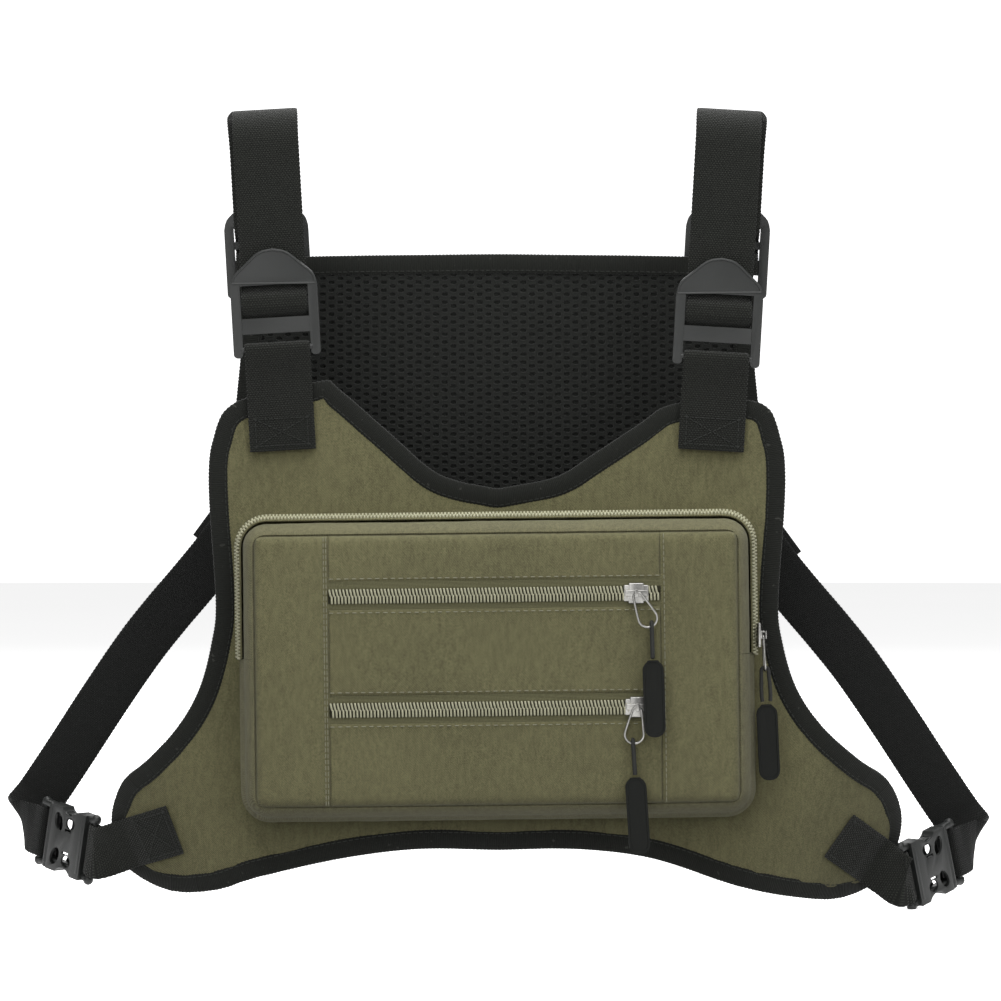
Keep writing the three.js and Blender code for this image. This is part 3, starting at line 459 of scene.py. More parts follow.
class Finish(Enum):
    """The vest's finishes. Colours are linear."""

    OLIVE = Twill("olive_twill", (0.128, 0.121, 0.06))
    # A slightly lighter copy of the olive twill for the front gussets: a painted highlight where their
    # rounded edge meets the top light.
    BAND = Twill("olive_band_painted_highlight", (0.131, 0.124, 0.066))
    LINING = Knit("black_lining", (0.02, 0.021, 0.018))
    MESH = Knit("holed_knit", (0.0068, 0.0078, 0.0062), 0.7 * MM)
    # The mesh's middle layer: partly its own dark colour, and made darker still as painted shade deep
    # inside the mesh.
    CORE = Knit("mesh_core_painted_shade", (0.0014, 0.0016, 0.0014))
    TAPE = RibbedTape("edge_tape", (0.007, 0.0078, 0.006))
    # Both webbings paint a highlight on their thread tops and shade in the gaps between them.
    WEBBING = Webbing("black_webbing", (0.0078, 0.0088, 0.0066))
    SIDE_WEBBING = Webbing("soft_webbing", (0.0036, 0.0043, 0.0034), 0.9 * MM, 1.2 * MM, 1.8)
    ZIP = ZipTape("zip_tape", (0.125, 0.12, 0.064), 4.2 * MM)
    COIL = Thread("zip_coil", (0.4, 0.392, 0.27), 0.42, 0.9 * MM)
    STITCH = Thread("olive_thread", (0.24, 0.235, 0.16), 0.7)
    BLACK_STITCH = Thread("black_thread", (0.013, 0.0145, 0.012), 0.7)
    CORD = Thread("black_cord", (0.012, 0.0125, 0.011), 0.75, 1.1 * MM)
    PLASTIC = Moulded("black_plastic", (0.0125, 0.0138, 0.0128), 0.42, specular=0.4)
    RUBBER = Moulded("black_rubber", (0.0042, 0.0048, 0.0038), 0.58, 0.00003, 0.14)
    METAL = Nickel("nickel")

    def material(self) -> bpy.types.Material:
        """The finish's material, made the first time that it is asked for."""
        known = bpy.data.materials.get(self.value.name)
        return known or self.value.material()


# ---------------- modelling by hand


def deselect_all() -> None:
    """Deselects every object."""
    for item in bpy.context.selected_objects:
        item.select_set(False)


def only(obj: bpy.types.Object) -> None:
    """Makes one object the only one selected, and the active one."""
    deselect_all()
    obj.select_set(True)
    bpy.context.view_layer.objects.active = obj


def modified(obj: bpy.types.Object, kind: str, **settings: object) -> None:
    """Adds a modifier to an object and applies it.

    Args:
        obj: The object.
        kind: The modifier's type.
        **settings: The modifier's settings.
    """
    only(obj)
    added = obj.modifiers.new(kind.lower(), kind)
    for name, setting in settings.items():
        setattr(added, name, setting)
    bpy.ops.object.modifier_apply(modifier=added.name)


def in_edit(obj: bpy.types.Object, work: Callable[[], None]) -> None:
    """Runs some edit-mode work with all of an object's mesh selected.

    Args:
        obj: The object.
        work: The work.
    """
    only(obj)
    bpy.context.tool_settings.mesh_select_mode = (True, False, False)
    bpy.ops.object.mode_set(mode="EDIT")
    bpy.ops.mesh.select_all(action="SELECT")
    work()
    bpy.ops.object.mode_set(mode="OBJECT")


def on_faces(
    obj: bpy.types.Object,
    wanted: Callable[[bpy.types.MeshPolygon], bool],
    work: Callable[[], None],
) -> None:
    """Runs some edit-mode work on chosen faces.

    Args:
        obj: The object.
        wanted: Says whether a face is chosen.
        work: The work.
    """
    only(obj)
    bpy.context.tool_settings.mesh_select_mode = (False, False, True)
    bpy.ops.object.mode_set(mode="EDIT")
    bpy.ops.mesh.select_all(action="DESELECT")
    bpy.ops.object.mode_set(mode="OBJECT")
    for polygon in obj.data.polygons:
        polygon.select = wanted(polygon)
    bpy.ops.object.mode_set(mode="EDIT")
    work()
    bpy.ops.object.mode_set(mode="OBJECT")


def face_out(obj: bpy.types.Object) -> None:
    """Merges an object's doubled points and turns its faces outwards."""

    def work() -> None:
        """The merge and the turn."""
        bpy.ops.mesh.remove_doubles(threshold=WELD)
        bpy.ops.mesh.normals_make_consistent(inside=False)

    in_edit(obj, work)


def points_of(obj: bpy.types.Object) -> np.ndarray:
    """An object's points."""
    flat = np.zeros(3 * len(obj.data.vertices))
    obj.data.vertices.foreach_get("co", flat)
    return flat.reshape(-1, 3)


def place_points(obj: bpy.types.Object, points: np.ndarray) -> None:
    """Moves an object's points."""
    obj.data.vertices.foreach_set("co", np.ascontiguousarray(points, np.float32).ravel())
    obj.data.update()


def map_points(obj: bpy.types.Object, places: np.ndarray) -> None:
    """Writes each point's own pair of distances, in metres, into an object's UV map.

    Args:
        obj: The object.
        places: A pair for each of its points.
    """
    corners = np.zeros(len(obj.data.loops), np.int32)
    obj.data.loops.foreach_get("vertex_index", corners)
    uv = places[corners].astype(np.float32)
    obj.data.uv_layers[0].data.foreach_set("uv", uv.ravel())


def grid(columns: int, rows: int) -> tuple[bpy.types.Object, np.ndarray, np.ndarray]:
    """A flat grid, to be bent to shape.

    Args:
        columns: How many faces it has along X.
        rows: How many it has along Y.

    Returns:
        The grid, and the column and the row of each of its points.
    """
    deselect_all()
    bpy.ops.mesh.primitive_grid_add(x_subdivisions=columns, y_subdivisions=rows, size=2)
    obj = bpy.context.object
    flat = points_of(obj)
    column = np.rint((flat[:, 0] + 1) / 2 * columns).astype(int)
    row = np.rint((flat[:, 1] + 1) / 2 * rows).astype(int)
    return obj, column, row


def joined(name: str, parts: Sequence[bpy.types.Object]) -> bpy.types.Object:
    """Joins objects into one.

    Args:
        name: The name it gets.
        parts: The objects, the first of which becomes the whole.

    Returns:
        The one object.
    """
    deselect_all()
    for part in parts:
        part.select_set(True)
    bpy.context.view_layer.objects.active = parts[0]
    bpy.ops.object.join()
    parts[0].name = name
    return parts[0]


def at_origin(obj: bpy.types.Object) -> None:
    """Puts an object's place, turn and scale into its mesh."""
    only(obj)
    bpy.ops.object.transform_apply(location=True, rotation=True, scale=True)


def unit(vectors: np.ndarray) -> np.ndarray:
    """Vectors at unit length."""
    return vectors / np.maximum(np.linalg.norm(vectors, axis=-1, keepdims=True), 1e-12)


def deliver(
    obj: bpy.types.Object,
    name: str,
    finish: Finish,
    body: str | tuple[str, str, Vector, Vector],
    stands_for: Sequence[str] = (),
    smooth: float | None = 40,
) -> bpy.types.Object:
    """Names a finished piece, dresses it and hands it to its body, when it is given one.

    Args:
        obj: The piece.
        name: Its name.
        finish: Its finish.
        body: The body it rides on, or two bodies and two places, which are not used: such a piece
            rides on no body, and only its place is baked into its mesh.
        stands_for: The frame's nodes that it stands for.
        smooth: The sharpest edge that is shaded smooth, in degrees, or None for flat shading.

    Returns:
        The piece.
    """
    obj.name = name
    obj.data.name = name
    if not obj.data.materials:
        obj.data.materials.append(finish.material())
    if smooth is not None:
        only(obj)
        bpy.ops.object.shade_smooth_by_angle(angle=math.radians(smooth))
    if isinstance(body, str):
        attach(obj, body)
    else:
        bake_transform(obj)
    if stands_for:
        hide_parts(*stands_for)
    log.info("%s: %d faces", name, len(obj.data.polygons))
    return obj


# ---------------- paths, sweeps and repeats


def smooth_through(points: np.ndarray, closed: bool, step: float) -> np.ndarray:
    """A smooth run through some points.

    Args:
        points: The points, of any number of columns.
        closed: Whether the run closes on itself.
        step: About how far apart the new points are.

    Returns:
        The new points, evenly spaced along the run.
    """
    given = np.asarray(points, float)
    if closed:
        p = np.vstack([given[-1], given, given[0], given[1]])
    else:
        p = np.vstack([2 * given[0] - given[1], given, 2 * given[-1] - given[-2]])
    gaps = np.linalg.norm(np.diff(p[:, :3], axis=0), axis=1)
    run = []
    for i in range(1, len(p) - 2):
        before = (p[i + 1] - p[i - 1]) / (gaps[i] + gaps[i - 1])
        after = (p[i + 2] - p[i]) / (gaps[i + 1] + gaps[i])
        count = max(2, math.ceil(3 * gaps[i] / step))
        t = (np.arange(count) / count)[:, None]
        run.append(
            (2 * t**3 - 3 * t**2 + 1) * p[i]
            + (t**3 - 2 * t**2 + t) * gaps[i] * before
            + (3 * t**2 - 2 * t**3) * p[i + 1]
            + (t**3 - t**2) * gaps[i] * after
        )
    run = np.vstack([*run, p[-2][None]])
    travelled = np.concatenate([[0], np.cumsum(np.linalg.norm(np.diff(run[:, :3], axis=0), axis=1))])
    count = max(2, round(travelled[-1] / step))
    places = np.linspace(0, travelled[-1], count + 1)
    even = np.stack([np.interp(places, travelled, column) for column in run.T], axis=1)
    return even[:-1] if closed else even


@dataclass(frozen=True)
class Path:
    """A run of places, each with the direction across it and the way that its face looks."""

    at: np.ndarray
    side: np.ndarray
    closed: bool = False

    @property
    def tangent(self) -> np.ndarray:
        """The way along the run at each place."""
        if self.closed:
            return unit(np.roll(self.at, -1, 0) - np.roll(self.at, 1, 0))
        return unit(np.gradient(self.at, axis=0))

    @property
    def normal(self) -> np.ndarray:
        """The way that the face looks at each place."""
        return unit(np.cross(self.tangent, self.side))

    @property
    def travelled(self) -> np.ndarray:
        """How far along the run each place is."""
        return np.concatenate([[0], np.cumsum(np.linalg.norm(np.diff(self.at, axis=0), axis=1))])

    def fine(self, step: float) -> "Path":
        """The same run, smooth, with its places a step apart."""
        both = smooth_through(np.hstack([self.at, self.side]), self.closed, step)
        made = Path(both[:, :3], both[:, 3:], self.closed)
        side = made.side - made.tangent * np.sum(made.side * made.tangent, axis=1, keepdims=True)
        return replace(made, side=unit(side))

    def turned_round(self) -> "Path":
        """The same open run from its other end."""
        return Path(self.at[::-1], self.side[::-1])

    def part(self, low: float, high: float) -> "Path":
        """The stretch of the run between two distances along it."""
        kept = (self.travelled >= low) & (self.travelled <= high)
        return Path(self.at[kept], self.side[kept])

    def moved(self, across: float, out: float) -> "Path":
        """The run moved across itself and out from its face."""
        return replace(self, at=self.at + self.side * across + self.normal * out)


@dataclass(frozen=True)
class Ripple:
    """The scalloped edge that the weave gives a tape or a strap."""

    depth: float
    pitch: float


def sweep(
    path: Path, section: Sequence[tuple[float, float]], ripple: Ripple | None = None
) -> bpy.types.Object:
    """Carries a closed section along a path, from a flat grid that is rolled up.

    Args:
        path: The path. Its face looks along its normal.
        section: Points round the section: across the path, and out from its face.
        ripple: The scallops of its side edges.

    Returns:
        The closed piece. Its UV map holds the distances round the section and along the path.
    """
    ring = np.array([*section, section[0]])
    at, side, normal = path.at, path.side, path.normal
    travelled = path.travelled
    if path.closed:
        at, side, normal = (np.vstack([a, a[:1]]) for a in (at, side, normal))
        gap = np.linalg.norm(at[-1] - at[-2])
        travelled = np.append(travelled, travelled[-1] + gap)
    obj, i, j = grid(len(ring) - 1, len(at) - 1)
    across = ring[i, 0]
    if ripple:
        edge = np.abs(across) / np.abs(ring[:, 0]).max()
        scallop = np.sin(travelled[j] * 2 * math.pi / ripple.pitch)
        across = across + np.sign(across) * ripple.depth * scallop * (edge > 0.9)
    place_points(obj, at[j] + side[j] * across[:, None] + normal[j] * ring[i, 1][:, None])
    round_it = np.concatenate([[0], np.cumsum(np.linalg.norm(np.diff(ring, axis=0), axis=1))])
    map_points(obj, np.stack([round_it[i], travelled[j]], axis=1))

    def work() -> None:
        """Closes the skin and its ends, and turns it outwards."""
        bpy.ops.mesh.remove_doubles(threshold=WELD)
        if not path.closed:
            bpy.ops.mesh.select_all(action="DESELECT")
            bpy.ops.mesh.select_non_manifold()
            bpy.ops.mesh.fill_holes(sides=0)
            bpy.ops.mesh.select_all(action="SELECT")
        bpy.ops.mesh.normals_make_consistent(inside=False)

    in_edit(obj, work)
    return obj


def strap_section(width: float, thickness: float) -> list[tuple[float, float]]:
    """The section of a flat strap with soft edges.

    Args:
        width: The strap's width.
        thickness: Its thickness.

    Returns:
        Points round the section.
    """
    half, thick = width / 2, thickness / 2
    shares = [-0.97, -0.88, -0.5, 0.0, 0.5, 0.88, 0.97]
    top = [(half * a, thick * (0.75 if abs(a) > 0.9 else 1)) for a in shares]
    bottom = [(a, -b) for a, b in reversed(top)]
    return [(-half, 0.0), *top, (half, 0.0), *bottom]


def round_section(radius: float, count: int = 10) -> list[tuple[float, float]]:
    """The section of a round wire or cord."""
    turns = [2 * math.pi * i / count for i in range(count)]
    return [(radius * math.cos(a), radius * math.sin(a)) for a in turns]


@dataclass(frozen=True)
class Template:
    """A small shape that is modelled once and repeated many times."""

    points: np.ndarray
    faces: list[tuple[int, ...]]

    @classmethod
    def capsule(cls, length: float, radius: float, sides: int, bow: float = 0.0) -> "Template":
        """A short round-ended bar along X, made from a cylinder.

        Args:
            length: Its whole length.
            radius: Its radius.
            sides: How many sides it has.
            bow: How far its middle stands out along Z.

        Returns:
            The template.
        """
        deselect_all()
        bpy.ops.mesh.primitive_cylinder_add(
            vertices=sides, radius=radius, depth=length, rotation=(0, math.pi / 2, 0)
        )
        bar = bpy.context.object
        at_origin(bar)

        def work() -> None:
            """Puts a ring at the middle."""
            bpy.ops.mesh.bisect(plane_co=(0, 0, 0), plane_no=(1, 0, 0))

        in_edit(bar, work)
        on_faces(
            bar,
            lambda face: abs(face.normal.x) > 0.9,
            lambda: bpy.ops.mesh.bevel(offset=radius * 0.55, segments=1, affect="EDGES"),
        )
        points = points_of(bar)
        points[:, 2] += bow * (1 - (2 * points[:, 0] / length) ** 2)
        faces = [tuple(p.vertices) for p in bar.data.polygons]
        bpy.data.objects.remove(bar)
        return cls(points, faces)

    def repeated(
        self, at: np.ndarray, along: np.ndarray, out: np.ndarray
    ) -> bpy.types.Object:
        """Copies the shape to many places.

        Args:
            at: The places.
            along: The way that the shape's X points at each.
            out: The way that its Z points at each, before it is squared up.

        Returns:
            One object of all the copies.
        """
        x = unit(along)
        z = unit(out - x * np.sum(out * x, axis=1, keepdims=True))
        y = np.cross(z, x)
        turned = (
            self.points[None, :, 0, None] * x[:, None]
            + self.points[None, :, 1, None] * y[:, None]
            + self.points[None, :, 2, None] * z[:, None]
        )
        points = (at[:, None] + turned).reshape(-1, 3)
        count = len(self.points)
        faces = [tuple(k + n * count for k in f) for n in range(len(at)) for f in self.faces]
        mesh = bpy.data.meshes.new("copies")
        mesh.from_pydata(points.tolist(), [], faces)
        obj = bpy.data.objects.new("copies", mesh)
        bpy.context.scene.collection.objects.link(obj)
        return obj


STITCH = Template.capsule(2.5 * MM, 0.3 * MM, 6, 0.18 * MM)


def stitched(path: Path, pitch: float = 3.1 * MM) -> bpy.types.Object:
    """A row of stitches along a path, lying on its face."""
    row = path.fine(pitch)
    return STITCH.repeated(row.at, row.tangent, row.normal)


# ---------------- reading shapes off the frame


def welded(node: str) -> bmesh.types.BMesh:
    """Copies one of the frame's meshes and merges its doubled points.

    Args:
        node: The node.

    Returns:
        The merged copy.
    """
    mesh = bmesh.new()
    mesh.from_mesh(frame["nodes"][node].data)
    bmesh.ops.remove_doubles(mesh, verts=mesh.verts, dist=WELD)
    mesh.normal_update()
    return mesh


def rims(node: str, looking: Vector) -> list[np.ndarray]:
    """The outlines of a node's face, the longest first.

    Args:
        node: The node.
        looking: The way that the face looks.

    Returns:
        Each outline's points, in order round it.
    """
    mesh = welded(node)
    face = {f for f in mesh.faces if f.normal.dot(looking) > 0.5}
    beside: dict[int, list[int]] = {}
    for edge in mesh.edges:
        if sum(f in face for f in edge.link_faces) == 1:
            a, b = (v.index for v in edge.verts)
            beside.setdefault(a, []).append(b)
            beside.setdefault(b, []).append(a)
    places = [v.co.copy() for v in mesh.verts]
    mesh.free()
    loops = []
    left = set(beside)
    while left:
        here = left.pop()
        loop = [here]
        while True:
            onward = [n for n in beside[here] if n in left]
            if not onward:
                break
            here = onward[0]
            left.discard(here)
            loop.append(here)
        loops.append(np.array([places[i] for i in loop]))
    return sorted(loops, key=len_round, reverse=True)


def len_round(loop: np.ndarray) -> float:
    """The length round a closed outline."""
    return float(np.linalg.norm(loop - np.roll(loop, 1, 0), axis=1).sum())


def flat_way(node: str) -> Vector:
    """The way that a flat piece looks: the direction in which it is thinnest."""
    points = points_of(frame["nodes"][node])
    _, _, axes = np.linalg.svd(points - points.mean(0), full_matrices=False)
    return Vector(axes[2])


def wire_loop(node: str, step: float) -> Path:
    """The middle line of a closed flat ring, such as a wire ring or a loop of cord.

    Args:
        node: The ring's node.
        step: About how far apart the line's places are.

    Returns:
        The line.
    """
    way = flat_way(node)
    outer, inner = (smooth_through(loop, True, step) for loop in rims(node, way)[:2])
    nearest = np.linalg.norm(outer[:, None] - inner[None], axis=2).argmin(1)
    middle = (outer + inner[nearest]) / 2
    points = points_of(frame["nodes"][node]) @ np.array(way)
    depth = (points.max() + points.min()) / 2
    middle += np.outer(depth - middle @ np.array(way), np.array(way))
    return Path(middle, np.tile(np.array(way), (len(middle), 1)), closed=True)


def strap_line(node: str) -> Path:
    """The middle line of a flat strap, from its rings of four corners.

    Args:
        node: The strap's node.

    Returns:
        The line.
    """
    mesh = welded(node)
    mesh.verts.ensure_lookup_table()
    around = {v.index: {e.other_vert(v).index for e in v.link_edges} for v in mesh.verts}
    places = np.array([v.co for v in mesh.verts])
    start = None
    for edge in mesh.edges:
        ring = {v.index for f in edge.link_faces for v in f.verts}
        outside = set().union(*(around[i] for i in ring)) - ring
        if len(ring) == 4 and len(outside) == 4:
            start = ring
            break
    mesh.free()
    if start is None:
        raise ValueError(f"{node} isn't a strap of four-cornered rings")
    rings, seen = [sorted(start)], set(start)
    while True:
        onward = set().union(*(around[i] for i in rings[-1])) - seen
        if not onward:
            break
        rings.append(sorted(onward))
        seen |= onward
    at, side = [], []
    for ring in rings:
        corners = places[ring]
        first = corners - corners[0]
        near = int(np.argsort(np.linalg.norm(first, axis=1))[1])
        others = [k for k in range(4) if k not in (0, near)]
        across = corners[[0, near]].mean(0) - corners[others].mean(0)
        if side and np.dot(across, side[-1]) < 0:
            across = -across
        at.append(corners.mean(0))
        side.append(unit(across))
    return Path(np.array(at), np.array(side))


# ---------------- copies, panels and soft shapes


def copied(node: str, dissolve: bool = True) -> bpy.types.Object:
    """A merged copy of one of the frame's meshes, to shape further.

    Args:
        node: The node.
        dissolve: Whether triangles in one plane become one face.

    Returns:
        The copy.
    """
    obj = bpy.data.objects.new("copy", frame["nodes"][node].data.copy())
    bpy.context.scene.collection.objects.link(obj)
    obj.data.materials.clear()
    face_out(obj)
    if dissolve:
        in_edit(obj, lambda: bpy.ops.mesh.dissolve_limited(angle_limit=math.radians(1)))
    return obj


def softened(obj: bpy.types.Object, width: float, segments: int = 2) -> bpy.types.Object:
    """Rounds an object's sharp edges.

    Args:
        obj: The object.
        width: How wide the rounding is.
        segments: How many faces it has.

    Returns:
        The object.
    """
    modified(
        obj, "BEVEL", width=width, segments=segments, limit_method="ANGLE",
        angle_limit=math.radians(34), use_clamp_overlap=True,
    )
    return obj


def rumple(obj: bpy.types.Object, height: float, size: float) -> bpy.types.Object:
    """Moves an object's points in and out a little, as cloth that has been worn.

    Args:
        obj: The object.
        height: The most that a point moves.
        size: How far apart the rises are.

    Returns:
        The object.
    """
    texture = bpy.data.textures.new("rumple", "CLOUDS")
    texture.noise_scale = size
    modified(
        obj, "DISPLACE", texture=texture, strength=2 * height, mid_level=0.5,
        texture_coords="LOCAL",
    )
    return obj


def puffed(obj: bpy.types.Object, voxel: float, cap: float, pressure: float) -> bpy.types.Object:
    """Swells a closed shape as padded cloth, by simulating its cloth under a little pressure.

    Args:
        obj: The shape.
        voxel: The size of its new cloth's cells.
        cap: The furthest that a point may move.
        pressure: The pressure inside.

    Returns:
        The same object, swollen.
    """
    modified(obj, "REMESH", mode="VOXEL", voxel_size=voxel)
    start = points_of(obj)
    only(obj)
    cloth = obj.modifiers.new("cloth", "CLOTH")
    cloth.settings.use_pressure = True
    cloth.settings.uniform_pressure_force = pressure
    cloth.settings.quality = 4
    cloth.settings.effector_weights.gravity = 0
    cloth.collision_settings.use_collision = False
    cloth.point_cache.frame_start = 1
    cloth.point_cache.frame_end = SIMULATED_FRAMES
    for number in range(1, SIMULATED_FRAMES + 1):
        bpy.context.scene.frame_set(number)
    bpy.ops.object.modifier_apply(modifier=cloth.name)
    bpy.context.scene.frame_set(1)
    moved = points_of(obj) - start
    far = np.linalg.norm(moved, axis=1, keepdims=True)
    place_points(obj, start + moved * np.minimum(1, cap / np.maximum(far, 1e-9)))
    modified(obj, "SMOOTH", factor=0.5, iterations=3)
    return obj


def lanes(low: float, high: float, step: float, rim: float) -> np.ndarray:
    """Grid lines from one edge of a panel to the other, closer together near its edges.

    Args:
        low: The first edge.
        high: The other.
        step: About how far apart the lines are in the middle.
        rim: How far in from each edge they are close.

    Returns:
        The lines' places.
    """
    near = rim * np.array([0, 0.12, 0.35, 0.65, 1.0])
    count = max(2, round((high - low - 2 * rim) / step))
    middle = np.linspace(low + rim, high - rim, count + 1)[1:-1]
    return np.concatenate([low + near, middle, high - near[::-1]])


@dataclass(frozen=True)
class Panel:
    """A sewn panel in the plane of the pocket's face, whose edges roll under at its seams."""

    left: float
    right: float
    bottom: float
    top: float
    rim: float = 1.8 * MM
    roll: float = 1.3 * MM
    corner: float = 0.0
    corners: tuple[int, ...] = ()

    def made(self, depth: Callable[[np.ndarray, np.ndarray], np.ndarray]) -> bpy.types.Object:
        """Builds the panel.

        Args:
            depth: The pocket's own Y of the face at each place.

        Returns:
            The panel, in the pocket's own directions.
        """
        xs = lanes(self.left, self.right, 2.6 * MM, self.rim)
        zs = lanes(self.bottom, self.top, 2.6 * MM, self.rim)
        obj, i, j = grid(len(xs) - 1, len(zs) - 1)
        x, z = xs[i].copy(), zs[j].copy()
        edge = np.minimum.reduce([x - self.left, self.right - x, z - self.bottom, self.top - z])
        for sx, sz in [(-1, -1), (1, -1), (1, 1), (-1, 1)][: 4 if self.corner else 0]:
            if (sx > 0) * 1 + (sz > 0) * 2 not in self.corners:
                continue
            cx = (self.right if sx > 0 else self.left) - sx * self.corner
            cz = (self.top if sz > 0 else self.bottom) - sz * self.corner
            u, w = sx * (x - cx), sz * (z - cz)
            inside = (u > 0) & (w > 0)
            most = np.maximum(u, w)
            long = np.hypot(u, w)
            x = np.where(inside, cx + sx * u * most / np.maximum(long, 1e-9), x)
            z = np.where(inside, cz + sz * w * most / np.maximum(long, 1e-9), z)
        share = np.clip(1 - edge / self.rim, 0, 1)
        y = depth(x, z) + self.roll * (1 - np.sqrt(np.clip(1 - share**2, 0, 1)))
        place_points(obj, np.stack([x, y, z], axis=1))
        self._thicken(obj)
        return obj

    def _thicken(self, obj: bpy.types.Object) -> None:
        """Turns the panel's face to the front and gives it its cloth's thickness."""
        if sum(p.normal.y * p.area for p in obj.data.polygons) > 0:
            in_edit(obj, lambda: bpy.ops.mesh.flip_normals())
        modified(obj, "SOLIDIFY", thickness=1.2 * MM, offset=-1)


# ---------------- studio and camera


@dataclass(frozen=True)
class Studio:
    """A plain white room with soft light from above, and the camera."""

    eye: tuple[float, float, float] = (0.00203, -2.2, -0.22707)
    seen_width: float = 0.58058
    sensor: float = 36.0
    ground: float = -0.4672
    floor_size: float = 40.0
    wall_radius: float = 9.0
    wall_height: float = 14.0
    floor_glow: float = 0.62
    wall_glow: float = 1.1
    sky_light: float = 0.3
    middle: tuple[float, float, float] = (0, 0, -0.25)

    def set_camera(self) -> None:
        """Makes the camera, level and square to the vest."""
        deselect_all()
        bpy.ops.object.camera_add(location=self.eye, rotation=(math.pi / 2, 0, 0))
        camera = bpy.context.object
        camera.name = "camera"
        camera.data.sensor_width = self.sensor
        camera.data.lens = self.sensor * -self.eye[1] / self.seen_width
        camera.data.clip_start = 0.01
        bpy.context.scene.camera = camera

    def _white(self, name: str, glow: float) -> bpy.types.Material:
        """The room's white, which keeps only soft shadows.

        Args:
            name: The material's name.
            glow: How much light the surface gives by itself.

        Returns:
            The material.
        """
        paint = Paint(name)
        tone = paint.noise(1.5, 1).ridge(0.2, 0.8)
        colour = paint.mix(tone, (0.9, 0.9, 0.9), (0.92, 0.92, 0.92))
        paint.shader.inputs["Emission Color"].default_value = (1, 1, 1, 1)
        return paint.dress(colour, 0.9, Emission_Strength=glow, Specular_IOR_Level=0.0)

    def _lamp(
        self, name: str, at: tuple[float, float, float], size: float, power: float
    ) -> None:
        """Adds a square soft light that looks at the vest's middle.

        Args:
            name: Its name.
            at: Its place.
            size: The length of its side.
            power: Its power in watts.
        """
        deselect_all()
        aim = (Vector(self.middle) - Vector(at)).to_track_quat("-Z", "Y").to_euler()
        bpy.ops.object.light_add(type="AREA", location=at, rotation=aim)
        lamp = bpy.context.object
        lamp.name = name
        lamp.data.size = size
        lamp.data.energy = power
        lamp.visible_camera = False

    def build(self) -> None:
        """Makes the floor, the backdrop, the lights and the sky."""
        deselect_all()
        bpy.ops.mesh.primitive_plane_add(size=self.floor_size, location=(0, 0, self.ground))
        floor = bpy.context.object
        floor.name = "floor"
        at_origin(floor)
        bpy.ops.mesh.primitive_cylinder_add(
            vertices=48, radius=self.wall_radius, depth=self.wall_height, end_fill_type="NOTHING"
        )
        wall = bpy.context.object
        wall.name = "backdrop"
        at_origin(wall)
        for surface, glow in ((floor, self.floor_glow), (wall, self.wall_glow)):
            surface.data.materials.append(self._white(f"{surface.name}_white", glow))
            surface.visible_diffuse = False
            surface.visible_glossy = surface is floor
        self._lamp("top_light", (0.1, -0.7, 1.7), 1.8, 51)
        self._lamp("front_light", (-0.9, -2.3, 0.5), 1.6, 18)
        self._lamp("right_light", (1.4, -1.7, 0.3), 1.4, 11)
        self._lamp("rear_light", (0, 1.7, 1.7), 2.2, 62)
        world = bpy.data.worlds.new("white_sky")
        world.use_nodes = True
        sky = world.node_tree.nodes["Background"]
        sky.inputs["Color"].default_value = (1, 1, 1, 1)
        sky.inputs["Strength"].default_value = self.sky_light
        bpy.context.scene.world = world
        bpy.context.scene.view_settings.view_transform = "Standard"


# ---------------- zip pulls and sliders


